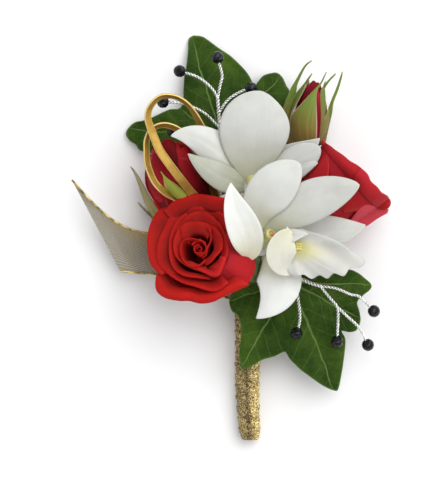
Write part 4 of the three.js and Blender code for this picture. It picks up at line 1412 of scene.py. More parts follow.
OPEN_ROSE = Rose(
    name="open_rose", finish=ROSE_RED, slot="rose_red", base=(-6.8, -9.8, 9.4), tip=(-11.4, -2.8, 27.8),
    petals=(
        Petal(40, 150, 0.7, 17.4, 0.9, 0.1, 0.1, tone=0.3),
        Petal(200, 120, 1.4, 17.9, 1.4, 0.1, 0.3, 0.3, 0.3, tone=0.6),
        Petal(330, 90, 2.1, 17.6, 1.9, 0.2, 0.5, 0.4, -0.4, tone=0.4),
        Petal(80, 70, 2.7, 17.0, 2.3, 0.3, 0.5, 0.5, 0.2, tone=0.7),
        Petal(0, 78, 10.6, 9.6, 9.0, 0.3, 0.6, corner=0.3),
        Petal(72, 78, 11.6, 11.4, 9.6, 0.3, 0.6, corner=0.3),
        Petal(144, 78, 12.4, 12.0, 10.2, 0.3, 0.6, corner=0.3),
        Petal(216, 78, 12.4, 11.4, 10.2, 0.3, 0.6, corner=0.3),
        Petal(288, 78, 11.4, 10.2, 9.4, 0.3, 0.6, corner=0.3),
    ),
    drawn=(
        RimPetal(
            rim=(
                (0.3, 2.7), (-2.4, 2.6), (-4.9, 1.5), (-5.4, -1.5), (-4.4, -4.1), (-2.1, -5.2), (0.3, -4.7),
                (2.1, -3.4),
            ),
            height=18.4, belly=0.9, crest=13.6,
        ),
        RimPetal(
            rim=((1.2, 7.0), (3.2, 5.8), (3.8, 3.1), (3.4, 0.6), (2.4, -1.4), (0.8, -2.4)),
            height=17.8, belly=0.8, crest=15.4, tone=0.42,
        ),
        RimPetal(
            rim=((-5.4, 3.0), (-4.6, 6.2), (-2.4, 7.8), (0.3, 8.0), (2.6, 7.3), (4.2, 5.4)),
            height=18.0, belly=0.6, crest=16.9, tone=0.5,
        ),
        RimPetal(
            rim=((2.2, 8.2), (5.0, 6.4), (6.7, 3.6), (7.0, 0.3), (6.1, -2.1), (4.2, -3.8), (1.6, -4.4)),
            height=17.5, belly=0.62, crest=16.0,
        ),
        RimPetal(
            rim=(
                (-1.6, 9.8), (-4.6, 7.6), (-6.4, 4.4), (-7.1, 1.4), (-6.8, -1.4), (-5.5, -3.9), (-3.2, -5.7),
                (-0.3, -6.4), (2.6, -6.2),
            ),
            height=17.4, belly=0.78, crest=16.2, tone=0.58,
        ),
        RimPetal(
            rim=((3.4, 9.6), (6.6, 7.4), (8.4, 4.0), (8.8, 0.3), (8.0, -3.1), (5.9, -5.8), (3.1, -7.4)),
            height=16.6, belly=0.76, crest=15.4, tone=0.62,
        ),
        RimPetal(
            rim=(
                (-3.7, -4.3), (-1.2, -5.5), (1.5, -6.8), (4.3, -8.0), (6.1, -7.7), (7.1, -5.5), (8.0, -2.5),
            ),
            height=17.2, belly=0.8, crest=16.2, roll=0.5, tone=0.8, dip=0.6, wave=0.05,
        ),
        RimPetal(
            rim=((-7.0, 5.6), (-4.6, 8.8), (-1.5, 10.5), (1.5, 10.7), (4.6, 9.6), (6.9, 7.0)),
            height=17.0, belly=0.74, crest=15.9,
        ),
        RimPetal(
            rim=(
                (-2.8, 11.2), (-6.2, 8.6), (-8.3, 4.8), (-8.9, 0.6), (-8.4, -3.1), (-6.8, -6.1),
                (-3.9, -8.1), (-0.3, -9.0), (3.4, -9.2),
            ),
            height=16.4, belly=0.83, crest=15.2, tone=0.58,
        ),
        RimPetal(
            rim=((-9.3, 7.6), (-6.8, 10.7), (-3.7, 12.2), (0.0, 12.6), (3.7, 12.3), (6.9, 10.6), (9.6, 7.0)),
            height=16.0, belly=0.82, crest=15.0,
        ),
        RimPetal(
            rim=(
                (-3.6, 12.6), (-7.6, 10.1), (-9.9, 6.5), (-11.7, 3.1), (-12.6, 0.0), (-12.3, -3.1),
                (-10.4, -6.1), (-7.4, -8.4),
            ),
            height=15.6, belly=0.74, crest=14.6, roll=0.3,
        ),
        RimPetal(
            rim=(
                (-12.4, -4.8), (-9.6, -7.2), (-5.8, -9.5), (-2.1, -11.4), (1.8, -12.7), (5.4, -12.5),
                (8.9, -10.0),
            ),
            height=15.2, belly=0.72, crest=13.2, roll=0.15, tone=0.56,
        ),
        RimPetal(
            rim=(
                (-11.0, 11.8), (-7.4, 14.6), (-3.4, 15.6), (0.6, 16.1), (4.6, 15.7), (8.7, 14.8),
                (10.2, 11.0),
            ),
            height=17.5, belly=0.78, crest=15.7, roll=0.4,
        ),
        RimPetal(
            rim=(
                (-8.4, 13.4), (-12.2, 10.8), (-14.7, 6.1), (-15.5, 1.2), (-14.9, -2.5), (-13.5, -5.2),
                (-10.9, -7.8),
            ),
            height=15.6, belly=0.78, crest=14.6, roll=0.4, tone=0.55,
        ),
        RimPetal(
            rim=(
                (4.0, -12.8), (9.8, -11.9), (14.2, -10.4), (16.6, -7.3), (17.4, -2.1), (16.0, 1.4),
                (13.5, 5.2), (9.6, 10.4),
            ),
            height=9.6, belly=0.56, crest=14.6, roll=0.3, tone=0.84, dip=0.6,
        ),
        RimPetal(
            rim=(
                (-11.4, -7.3), (-11.6, -10.7), (-10.4, -12.7), (-8.3, -14.0), (-5.2, -14.6), (-2.5, -14.3),
                (0.6, -14.6), (4.0, -14.0), (7.1, -12.7), (10.7, -11.4), (14.2, -9.9),
            ),
            height=13.4, belly=0.8, crest=12.0, roll=1.5, tone=0.74, dip=0.4,
        ),
    ),
    middle=(-11.1, -3.4),
    core=((0.0, -0.6), (2.4, -0.5), (4.2, 3.0), (3.4, 8.0), (1.6, 11.0), (0.0, 12.0)),
)
SIDE_ROSE = Rose(
    name="side_rose", finish=ROSE_CRIMSON, slot="bud_crimson", base=(-12.8, 4.9, 6.8),
    tip=(-20.7, 29.2, 12.2),
    petals=(
        Petal(60, 150, 1.0, 23.6, 4.2, 0.1, 0.2),
        Petal(190, 120, 1.9, 24.0, 5.0, 0.1, 0.3),
        Petal(300, 110, 2.8, 24.2, 5.6, 0.15, 0.4),
        Petal(100, 100, 3.6, 24.6, 6.3, 0.2, 0.5, tone=0.55),
        Petal(200, 80, 4.5, 24.4, 7.0, 0.2, 0.5, 0.4, tone=0.45),
        Petal(290, 80, 5.2, 24.0, 7.4, 0.3, 0.5),
        Petal(30, 74, 5.4, 25.4, 7.8, 0.3, 0.6, tone=0.55, corner=0.3),
        Petal(135, 64, 5.6, 25.4, 8.3, 0.5, 0.6, 0.9, 0.1, tone=0.45, corner=0.3),
        Petal(230, 70, 6.8, 23.4, 8.6, 0.4, 0.5, tone=0.4, corner=0.3),
        Petal(320, 70, 7.0, 23.4, 8.8, 0.4, 0.5, corner=0.3),
        Petal(74, 62, 5.8, 24.6, 8.9, 0.4, -0.9, 0.9, 0.2, tone=0.35, corner=0.4),
        Petal(166, 60, 7.0, 22.8, 9.2, 0.4, 0.8, 0.6, -0.4, tone=0.2, corner=0.42),
        Petal(2, 56, 6.8, 23.0, 9.2, 0.5, 0.8, tone=0.45, corner=0.45),
    ),
    core=((0.0, -0.6), (2.4, -0.5), (5.0, 3.0), (6.0, 9.0), (4.4, 14.0), (0.0, 18.0)),
    outline=(
        (-1.0, 2.8), (3.0, 5.0), (8.0, 7.8), (13.0, 9.5), (18.0, 9.3), (22.0, 8.2), (25.0, 7.2), (27.0, 6.0),
    ),
    draped=(
        Draped(
            (
                (-27.2, 22.5), (-27.7, 20.0), (-27.6, 16.9), (-26.9, 14.5), (-25.6, 12.3), (-24.4, 9.8),
                (-23.2, 7.7), (-21.6, 5.5),
            ),
            (
                (-25.6, 23.7), (-25.6, 20.6), (-25.0, 17.6), (-23.8, 14.8), (-22.5, 12.6), (-21.3, 10.2),
                (-20.1, 7.7), (-18.5, 5.5),
            ),
            gap=1.0, tone=0.72,
        ),
        Draped(
            (
                (-25.6, 24.3), (-25.8, 21.3), (-25.0, 17.6), (-23.8, 14.8), (-22.5, 12.3), (-21.3, 9.8),
                (-20.1, 7.7), (-18.5, 5.5),
            ),
            (
                (-21.9, 25.0), (-21.6, 21.3), (-21.0, 17.6), (-19.8, 14.8), (-18.2, 12.3), (-16.7, 9.8),
                (-15.1, 7.7), (-13.3, 5.5),
            ),
            gap=0.5, tone=0.25,
        ),
        Draped(
            (
                (-25.3, 25.5), (-25.6, 22.8), (-24.7, 19.7), (-22.8, 16.6), (-20.7, 14.1), (-18.5, 11.7),
                (-16.4, 9.2),
            ),
            (
                (-22.8, 26.2), (-21.0, 22.8), (-19.4, 19.7), (-17.3, 16.6), (-14.8, 14.1), (-12.3, 11.7),
                (-10.2, 9.2),
            ),
            gap=0.8, tone=0.8,
        ),
        Draped(
            ((-18.5, 18.8), (-20.7, 22.5), (-22.2, 26.2), (-22.7, 28.7), (-21.6, 30.1)),
            ((-14.8, 18.8), (-16.7, 22.5), (-17.6, 26.2), (-17.9, 28.7), (-19.8, 30.4)),
            gap=1.3, tone=-0.3,
        ),
        Draped(
            ((-15.4, 18.2), (-17.9, 21.9), (-19.8, 25.6), (-20.1, 28.0), (-18.8, 29.6)),
            ((-11.7, 18.2), (-14.2, 21.9), (-16.1, 25.0), (-16.4, 27.1), (-17.6, 29.0)),
            gap=0.95, tone=0.6,
        ),
        Draped(
            ((-14.8, 18.2), (-15.7, 21.6), (-16.4, 24.7), (-16.4, 26.8), (-15.1, 28.4)),
            ((-9.9, 18.2), (-11.4, 21.3), (-12.7, 24.0), (-13.3, 26.5), (-14.2, 28.2)),
            gap=0.85, tone=0.5,
        ),
        Draped(
            ((-13.6, 9.5), (-15.4, 13.9), (-17.3, 18.2), (-18.2, 22.2), (-17.0, 24.7)),
            ((-6.8, 10.8), (-8.7, 14.5), (-10.8, 18.2), (-12.7, 21.6), (-14.5, 24.3)),
            gap=1.25, tone=0.0,
        ),
        Draped(
            ((-9.6, 9.5), (-11.7, 13.2), (-13.6, 16.9), (-14.5, 20.0), (-13.6, 22.8)),
            ((-3.7, 10.8), (-6.5, 14.5), (-9.0, 17.6), (-11.1, 20.3), (-12.7, 23.1)),
            gap=0.3, tone=-0.25,
        ),
    ),
    seed=5,
)
RIGHT_ROSE = Rose(
    name="right_rose", finish=ROSE_SCARLET, slot="rose_red", base=(23.1, 5.9, 11.4), tip=(37.8, 20.1, 13.8),
    petals=(
        Petal(60, 150, 1.2, 17.0, 1.6, 0.2, 0.2, tone=0.2),
        Petal(200, 120, 2.6, 17.2, 2.8, 0.3, 0.4, tone=0.2),
        Petal(320, 100, 4.2, 17.4, 4.2, 0.4, 0.5, tone=0.2),
        Petal(80, 85, 5.8, 17.6, 5.4, 0.4, 0.6, tone=0.25),
        Petal(180, 75, 7.2, 17.8, 6.6, 0.4, 0.6, tone=0.3),
        Petal(285, 75, 8.4, 17.8, 7.6, 0.5, 0.6, tone=0.3, corner=0.3),
        Petal(30, 70, 9.2, 18.2, 8.4, 0.6, 0.7, 0.6, 0.3, tone=0.4, corner=0.3),
        Petal(140, 70, 9.8, 18.4, 9.0, 0.7, -0.7, 0.7, -0.2, tone=0.4, corner=0.3),
        Petal(225, 72, 10.6, 18.2, 9.6, 0.8, 0.6, corner=0.3),
        Petal(315, 66, 11.2, 18.0, 10.0, 0.8, 0.6, 0.5, 0.2, corner=0.3),
        Petal(350, 62, 11.6, 20.0, 10.6, 1.0, 0.5, tone=0.5, corner=0.16),
        Petal(250, 66, 11.6, 20.0, 10.6, 1.0, 0.5, tone=0.5, corner=0.16),
        Petal(190, 52, 11.8, 20.4, 10.8, 1.2, 0.4, tone=0.6, corner=0.12),
        Petal(34, 56, 11.6, 20.0, 10.7, 1.1, 0.5, 0.4, 0.3, tone=0.5, corner=0.14),
        Petal(116, 66, 11.6, 20.4, 10.8, 1.2, -0.4, 0.5, -0.3, tone=0.6, corner=0.12),
    ),
    core=((0.0, -0.6), (2.4, -0.5), (4.6, 3.0), (4.0, 8.0), (2.4, 12.0), (0.0, 14.0)),
    outline=((-1.0, 4.0), (3.0, 7.4), (8.0, 10.4), (13.0, 11.6), (18.0, 12.4), (22.0, 12.8), (27.0, 12.8)),
    draped=(
        Draped(
            ((27.2, 28.4), (25.6, 25.2), (23.0, 22.2), (19.6, 19.4), (16.4, 17.4)),
            ((28.6, 27.8), (29.0, 25.0), (29.3, 22.0), (29.0, 19.0), (28.2, 15.4)),
            gap=0.9, tone=0.7,
        ),
        Draped(
            ((28.4, 27.4), (28.8, 22.0), (29.6, 17.0), (31.4, 12.0), (33.8, 7.4)),
            ((31.2, 25.0), (34.4, 21.4), (38.0, 17.2), (41.6, 13.0), (44.8, 8.8)),
            gap=0.4, tone=0.6,
        ),
        Draped(
            (
                (27.5, 30.2), (29.6, 28.1), (31.3, 26.6), (33.6, 24.9), (35.4, 23.3), (37.9, 21.8),
                (40.0, 19.9), (41.4, 17.4),
            ),
            (
                (27.0, 28.9), (28.0, 26.6), (29.6, 24.6), (31.2, 22.6), (32.9, 20.5), (34.7, 18.3),
                (36.6, 16.4), (38.4, 14.6),
            ),
            gap=1.2, crown=1.4, tone=0.62,
        ),
        Draped(
            (
                (38.6, 21.2), (40.8, 19.2), (41.9, 17.0), (43.9, 15.3), (45.3, 13.7), (47.3, 12.7),
                (48.5, 11.2), (48.4, 9.7),
            ),
            (
                (36.0, 17.4), (37.6, 15.2), (39.4, 13.2), (41.2, 11.3), (43.0, 9.7), (44.8, 8.7),
                (46.4, 8.5), (47.8, 8.9),
            ),
            gap=1.6, crown=1.4, tone=0.62,
        ),
        Draped(
            ((31.6, 1.4), (35.2, 4.4), (38.4, 8.4), (41.0, 9.9), (44.4, 9.4), (48.0, 8.6)),
            ((33.0, 0.2), (35.6, 1.6), (38.5, 2.9), (41.0, 3.3), (44.4, 5.6), (47.6, 7.4)),
            gap=0.9, tone=0.94,
        ),
    ),
    ruffle=0.45, seed=8,
)


@dataclass
class Calyx:
    """The green cup under a rose with its sepals."""

    node: str
    base: Point
    tip: Point
    cup: Outline
    hugging: tuple[Strip, ...] = ()
    free: tuple[Blade, ...] = ()
    draped: tuple[Draped, ...] = ()
    outline: Outline = ()
    finish: PetalFinish = SEPAL_GREEN
    # Painted light and shade for the hugging sepals, one each: how light each is drawn.
    painted_lights: tuple[float, ...] = (0.55, 0.4, 0.5, 0.45, 0.5)

    def build(self, groups: Groups) -> None:
        """Builds the cup and the sepals that hug it as one piece, and the loose sepals as another."""
        mesh = MeshBuilder(self.node + "_leafy")
        mesh.turned(spline(np.array(self.cup), np.linspace(0.0, 1.0, 26)), self.base, self.tip, sides=24)
        for strip, tone in zip(self.hugging, self.painted_lights):
            mesh.sheet(strip.surface(self.base, self.tip), SEPAL_THICKNESS, tone)
        body = RoundBody(self.base, self.tip, self.outline)
        for sheet in self.draped:
            mesh.sheet(sheet.surface(body), DRAPED_SEPAL_THICKNESS, sheet.tone)
        mesh.build(self.finish.make(groups), self.node, "sepal_green")
        if self.free:
            loose = MeshBuilder(self.node + "_loose")
            for blade in self.free:
                loose.sheet(blade.surface(), SEPAL_THICKNESS, blade.tone)
            loose.build(SEPAL_TAN.make(groups), "", "sepal_green")


def sepal(angle: float, half: float, *profile: Pair) -> Strip:
    """Returns a pointed strip for a sepal that hugs its bloom."""
    return Strip(profile, angle, half, corner=0.0, ruffle=0.1, pointed=True, columns=16)


ROSE_CUP = ((0.0, -5.2), (1.9, -5.1), (3.2, -3.4), (3.2, -1.6), (2.4, -0.8), (0.0, -0.8))


def folded_sepals(*profile: Pair) -> tuple[Strip, ...]:
    """Returns five sepals folded back under a bloom."""
    return tuple(sepal(math.tau * k / 5 + 0.4, 0.5, *profile) for k in range(5))


CALYXES = (
    Calyx(
        "open_rose_calyx", OPEN_ROSE.base, OPEN_ROSE.tip, ROSE_CUP,
        folded_sepals((2.6, -1.9), (5.0, -1.6), (7.6, -0.6), (9.6, 1.0)),
    ),
    Calyx(
        "right_rose_calyx", RIGHT_ROSE.base, RIGHT_ROSE.tip, ROSE_CUP,
        folded_sepals((2.6, -1.9), (5.0, -1.4), (7.6, 0.4), (9.2, 3.0)),
    ),
    Calyx(
        "side_rose_calyx", SIDE_ROSE.base, SIDE_ROSE.tip, ROSE_CUP,
        (
            sepal(3.4, 0.5, (2.8, -1.6), (6.6, 1.6), (8.6, 4.0), (9.8, 8.0), (10.2, 12.0)),
            sepal(4.6, 0.4, (2.8, -1.6), (5.2, 1.2), (6.4, 2.8), (7.4, 5.0), (8.0, 8.0)),
        ),
        (
            Blade(
                ((-14.6, 3.4, 7.4), (-27.5, 3.2, 8.0), (-27.2, 16.4, 8.6), (-32.3, 22.0, 9.6)),
                width=4.2, shape=BladeShape.LANCE, cup=0.4, tone=0.55,
            ),
            Blade(
                ((-14.4, 2.6, 6.0), (-21.0, 2.0, 5.4), (-26.2, 6.4, 5.2), (-30.1, 11.0, 5.8)),
                width=2.4, shape=BladeShape.LANCE, cup=0.3, tone=0.1,
            ),
        ),
        draped=(
            Draped(
                (
                    (-13.6, 8.9), (-17.3, 11.4), (-19.7, 13.2), (-21.3, 15.4), (-21.7, 17.5), (-22.0, 19.1),
                    (-22.6, 20.1),
                ),
                (
                    (-11.1, 9.5), (-13.6, 12.3), (-15.7, 14.6), (-17.9, 16.3), (-20.0, 17.7), (-21.4, 18.9),
                    (-22.5, 20.3),
                ),
                gap=1.6, crown=0.5, tone=0.95,
            ),
        ),
        outline=SIDE_ROSE.outline, painted_lights=(0.4, 0.4),
    ),
)


@dataclass
class SmallBud:
    """The tight rosebud with sepals that wrap it and end in long thin tips."""

    base: Point = (22.3, 29.3, 10.5)
    tip: Point = (25.2, 48.2, 12.5)
    body: Outline = ((0.0, 0.2), (2.6, 0.4), (4.2, 4.0), (4.6, 8.5), (3.6, 13.5), (1.8, 17.5), (0.0, 19.4))
    cup: Outline = ((0.0, -4.2), (1.8, -4.1), (3.2, -2.6), (3.4, -1.0), (2.8, -0.2), (0.0, -0.2))
    wrap: Outline = ((1.8, 0.5), (4.3, 4.0), (4.7, 8.5), (3.8, 13.5), (2.1, 17.6))
    outline: Outline = (
        (-2.0, 2.8), (0.0, 4.0), (4.0, 5.6), (8.5, 6.0), (13.5, 5.0), (17.6, 3.0), (19.8, 0.9), (27.0, 0.3),
    )
    fold: Draped = Draped(
        ((25.4, 30.0), (25.6, 34.6), (25.4, 40.5), (25.3, 43.5), (24.9, 45.6)),
        ((26.6, 30.0), (27.0, 36.0), (27.0, 40.5), (26.8, 43.5), (26.0, 45.6)),
        gap=0.1, tone=1.5,
    )
    back_sepals: tuple[Strip, ...] = (
        sepal(3.9, 0.6, (3.0, -1.0), (5.6, 2.4), (6.2, 7.0), (5.4, 12.0), (4.2, 16.0), (4.4, 19.8)),
        sepal(5.3, 0.6, (3.0, -1.0), (5.6, 2.4), (6.2, 7.0), (5.4, 12.0), (4.0, 16.0), (3.6, 19.4)),
    )
    sepals: tuple[Draped, ...] = (
        Draped(
            (
                (14.6, 29.0), (14.3, 35.1), (14.9, 38.9), (16.2, 42.6), (17.7, 46.3), (19.0, 48.5),
                (21.8, 53.2), (24.0, 55.0),
            ),
            (
                (17.0, 29.0), (16.8, 35.1), (17.2, 38.9), (18.4, 42.6), (19.4, 45.4), (19.8, 47.6),
                (22.2, 52.7), (24.3, 54.7),
            ),
            gap=-0.4, tone=0.35,
        ),
        Draped(
            (
                (16.6, 28.6), (15.3, 36.9), (16.1, 40.9), (18.6, 44.0), (21.2, 47.0), (22.6, 48.9),
                (24.1, 50.9),
            ),
            (
                (18.6, 28.6), (17.4, 36.6), (20.0, 42.2), (21.8, 45.6), (22.2, 47.0), (23.1, 48.6),
                (24.4, 50.7),
            ),
            gap=0.5, tone=0.2,
        ),
        Draped(
            (
                (26.1, 28.6), (26.8, 36.7), (26.7, 41.0), (26.8, 45.0), (27.5, 46.6), (29.4, 48.9),
                (31.4, 50.9),
            ),
            (
                (27.0, 28.6), (28.1, 36.7), (28.4, 41.0), (28.3, 45.0), (28.4, 46.4), (29.8, 48.5),
                (31.8, 50.6),
            ),
            gap=0.2, tone=0.3,
        ),
        Draped(
            (
                (25.6, 28.6), (28.0, 36.5), (28.7, 38.3), (30.2, 42.4), (31.6, 45.8), (32.7, 48.9),
                (33.5, 51.4),
            ),
            (
                (28.4, 28.6), (29.8, 35.2), (30.6, 38.7), (31.0, 41.8), (32.4, 45.5), (33.4, 48.9),
                (33.9, 51.4),
            ),
            gap=-0.4, tone=0.42,
        ),
        Draped(
            (
                (18.4, 28.6), (17.3, 36.5), (21.0, 41.4), (23.8, 44.5), (25.4, 46.2), (26.8, 47.9),
                (28.5, 51.3),
            ),
            (
                (25.6, 28.6), (25.7, 34.6), (25.5, 40.5), (25.5, 43.9), (26.0, 45.8), (27.3, 47.8),
                (28.9, 51.2),
            ),
            gap=0.5, crown=0.2, tone=0.55,
        ),
    )

    def build(self, groups: Groups) -> None:
        """Builds the closed petals and the calyx with its sepals."""
        mesh = MeshBuilder("small_bud_bloom")
        profile = spline(np.array(self.body), np.linspace(0.0, 1.0, 40))
        mesh.turned(profile, self.base, self.tip, sides=30, tone=0.4)
        for k in range(4):
            wrap = self.wrap + ((1.0, 19.6 - 0.4 * k),)
            strip = Strip(wrap, angle=1.1 + 1.6 * k, half=1.2, corner=0.12, tuck=0.2, ruffle=0.1)
            mesh.sheet(strip.surface(self.base, self.tip), BUD_PETAL_THICKNESS, 0.4 + 0.08 * k)
        fold = self.fold.surface(RoundBody(self.base, self.tip, self.outline))
        mesh.sheet(fold, BUD_PETAL_THICKNESS, self.fold.tone)
        mesh.build(BUD_CRIMSON.make(groups), "small_bud_petals", "bud_crimson")
        Calyx(
            node="small_bud_calyx", base=self.base, tip=self.tip, cup=self.cup, hugging=self.back_sepals,
            draped=self.sepals, outline=self.outline, finish=BUD_SEPAL,
        ).build(groups)


@dataclass
class Orchid:
    """A white orchid: five tepals round a hub, and a column with its anther cap."""

    name: str
    hub: tuple[Point, Point]
    hub_profile: Outline
    tepals: tuple[Blade, ...]
    column: tuple[Point, Point]
    column_profile: Outline
    anther: float
    anther_radius: float = 1.05

    def build(self, groups: Groups) -> None:
        """Builds the tepals as one piece, and the column and its cap as two."""
        mesh = MeshBuilder(self.name + "_flower")
        hub = spline(np.array(self.hub_profile), np.linspace(0.0, 1.0, 24))
        mesh.turned(hub, *self.hub, sides=28, tone=0.45)
        for blade in self.tepals:
            mesh.sheet(blade.surface(), TEPAL_THICKNESS, blade.tone)
        mesh.build(ORCHID_WHITE.make(groups), self.name + "_tepals", "orchid_white")
        post = MeshBuilder(self.name + "_post")
        post.turned(spline(np.array(self.column_profile), np.linspace(0.0, 1.0, 30)), *self.column, sides=22)
        post.build(ORCHID_COLUMN.make(), self.name + "_column", "orchid_column")
        cap = MeshBuilder(self.name + "_anther")
        axis = unit(np.array(self.column[1]) - np.array(self.column[0]))
        place = np.array(self.column[0]) + axis * self.anther
        around = np.linspace(0.0, math.pi, 14)
        ball = np.stack([self.anther_radius * np.sin(around), -np.cos(around)], axis=1)
        cap.turned(ball, place, place + axis, sides=18)
        cap.build(ANTHER_CAP.make(), "", "orchid_column")


LOWER_ORCHID = Orchid(
    name="lower_orchid",
    hub=((7.6, -2.6, 19.8), (9.2, 0.4, 24.0)),
    hub_profile=((0.0, -1.6), (2.8, -1.4), (3.6, 0.4), (2.4, 1.8), (0.0, 2.0)),
    tepals=(
        Blade(
            ((4.0, -7.3, 21.2), (6.9, -0.8, 28.0), (-0.9, 6.6, 33.6), (-1.0, 16.4, 32.6)),
            width=10.3, cup=1.2, tone=0.84,
        ),
        Blade(
            ((7.3, -0.6, 21.0), (4.8, 9.7, 28.0), (12.0, 15.3, 30.6), (20.0, 22.6, 29.0)),
            width=14.0, shape=BladeShape.BROAD, cup=-1.0, tone=0.42,
        ),
        Blade(
            ((9.2, -0.6, 21.4), (15.5, 8.8, 28.0), (26.7, 13.0, 31.0), (38.2, 15.8, 31.0)),
            width=12.9, shape=BladeShape.FULL, cup=-1.2, tone=0.26,
        ),
        Blade(
            ((9.4, -2.0, 19.6), (18.7, 1.5, 18.6), (31.0, 0.6, 21.6), (40.4, 3.6, 22.5)),
            width=12.0, cup=-0.6, tone=0.48,
        ),
        Blade(
            ((9.8, -4.4, 19.2), (15.2, -10.0, 22.6), (16.2, -18.4, 22.6), (6.9, -25.1, 19.4)),
            width=13.8, cup=-1.0, tone=0.78,
        ),
    ),
    column=((8.6, -1.0, 23.2), (12.4, 1.6, 28.6)),
    column_profile=((0.0, -3.0), (1.8, -2.8), (2.1, 0.0), (1.5, 3.0), (1.7, 5.0), (0.0, 5.8)),
    anther=5.2,
)
UPPER_ORCHID = Orchid(
    name="upper_orchid",
    hub=((5.6, 15.8, 15.6), (6.4, 16.0, 20.0)),
    hub_profile=((0.0, -1.4), (2.6, -1.2), (3.4, 0.4), (2.4, 1.6), (0.0, 1.8)),
    tepals=(
        Blade(
            ((6.2, 16.6, 16.4), (4.9, 24.2, 22.0), (6.1, 35.7, 28.0), (8.5, 44.7, 25.0)),
            width=21.5, shape=BladeShape.BROAD, cup=-1.6, tone=0.32, columns=36,
        ),
        Blade(
            ((4.6, 16.4, 16.2), (-1.3, 23.7, 18.5), (-9.6, 33.4, 24.0), (-19.4, 31.0, 24.6)),
            width=10.5, cup=-1.0, tone=0.45,
        ),
        Blade(
            ((4.6, 15.4, 16.2), (0.6, 16.3, 19.0), (-7.4, 19.9, 24.0), (-14.2, 25.5, 24.6)),
            width=8.5, cup=-1.0, roll=(0.0, 20.0), tone=0.1,
        ),
        Blade(
            ((7.4, 16.8, 16.0), (14.2, 23.7, 17.0), (20.3, 24.3, 19.6), (26.4, 30.4, 20.4)),
            width=9.5, cup=0.8, tone=0.25,
        ),
        Blade(
            ((7.6, 15.4, 16.4), (13.6, 20.4, 19.6), (20.4, 24.2, 21.0), (26.6, 27.4, 21.4)),
            width=9.6, shape=BladeShape.BROAD, cup=-0.5, tone=0.3,
        ),
        Blade(
            ((7.6, 15.0, 16.0), (13.0, 19.4, 18.6), (19.0, 21.6, 20.6), (25.8, 22.8, 21.4)),
            width=8.6, cup=-0.8, tone=0.4,
        ),
        Blade(
            ((5.6, 14.6, 15.8), (1.6, 10.6, 16.4), (-2.0, 9.6, 18.0), (-6.4, 11.4, 19.4)),
            width=8.0, cup=0.6, tone=0.4,
        ),
    ),
    column=((6.0, 16.4, 18.4), (7.4, 12.6, 21.6)),
    column_profile=((0.0, -2.6), (1.7, -2.4), (2.0, 0.0), (1.4, 2.6), (1.6, 3.8), (0.0, 4.4)),
    anther=4.2,
)


@dataclass
class OrchidLip:
    """The lower orchid's lip: a ruffled fan round its throat, two side lobes and a yellow callus."""

    throat: Point = (16.0, -2.4, 24.0)
    fan: Outline = (
        (12.2, -4.8), (12.4, -1.0), (15.6, 1.6), (19.6, 2.7), (24.0, 1.4), (28.0, 0.2), (32.6, -1.9),
        (36.4, -4.5), (40.2, -7.3), (38.6, -9.4), (35.6, -9.6), (33.6, -12.0), (30.6, -11.2), (28.6, -12.8),
        (26.2, -11.8), (23.8, -12.9), (21.2, -11.6), (18.6, -12.2), (16.0, -10.6), (13.6, -8.4),
    )
    lobes: tuple[Blade, ...] = (
        Blade(
            ((17.0, 2.2, 28.6), (13.6, -2.4, 30.2), (12.6, -8.6, 28.4), (17.4, -11.6, 24.6)),
            width=9.6, shape=BladeShape.LENS, cup=0.8, roll=(-24.0, -10.0), tone=0.75,
        ),
        Blade(
            ((11.6, -3.4, 24.0), (14.2, -0.4, 26.0), (18.2, 1.4, 28.2), (22.6, 0.8, 28.4)),
            width=6.0, cup=-0.5, roll=(-30.0, -44.0), tone=0.5,
        ),
    )
    callus: Point = (18.6, -2.8, 25.3)
    keel_gap: float = 0.75
    keel_reach: Point = (2.2, -0.25, 0.2)
    rings: int = 30
    around: int = 220

    def build(self, groups: Groups) -> None:
        """Builds the fan and lobes as one piece and the callus as another.

        The fan runs in rings from the throat to its outline. Its level dips near the throat,
        rises towards the far tip, and waves along the margin as a sum of two sines of the
        bearing that grow with the cube of the share of the way out.
        """
        middle = np.array(self.throat[:2])
        share = np.linspace(0.01, 1.0, self.rings)[:, None, None]
        spot = share * (closed_edge(self.fan, self.around) - middle)[None]
        x, y, outward = spot[..., 0], spot[..., 1], share[..., 0]
        bearing, away = np.arctan2(y, x), np.hypot(x, y)
        ruffle = 0.6 * np.sin(9.0 * bearing) + 0.4 * np.sin(16.0 * bearing + 1.0)
        level = self.throat[2] + 1.4 * smoothstep(0.0, 8.0, away) + 0.04 * x * outward
        level = level + ruffle * outward**3 * smoothstep(3.0, 10.0, away)
        level = level + 0.5 * np.sin(0.5 * x + 0.7 * y) * outward
        surface = np.concatenate([spot + middle, level[..., None]], axis=-1)
        inner = np.clip((1.0 - share) * self.rings / 3.0, 0.0, 1.0)
        half = 0.5 * TEPAL_THICKNESS * (0.4 + 0.6 * inner) * UP
        mesh = MeshBuilder("lower_orchid_lip_lobes")
        mesh.fan(surface + half, surface - half, 0.36)
        for blade in self.lobes:
            mesh.sheet(blade.surface(), TEPAL_THICKNESS, blade.tone)
        mesh.build(ORCHID_LIP.make(groups), "lower_orchid_lip", "orchid_lip")
        ridge = MeshBuilder("lower_orchid_callus")
        along = np.linspace(-1.0, 1.0, 18)
        radius = 0.55 * np.sqrt(np.clip(1.0 - along**2, 0.02, 1.0))
        knobs = 1.0 + 0.15 * np.sin(np.arange(len(along)) * 1.3)
        for aside in (-self.keel_gap, 0.0, self.keel_gap):
            start = np.array(self.callus) + np.array([0.0, aside, 0.0])
            ridge.tube(start + along[:, None] * np.array(self.keel_reach), radius * knobs, sides=10)
        ridge.build(YELLOW_CALLUS.make(), "", "orchid_lip")


# Leaves


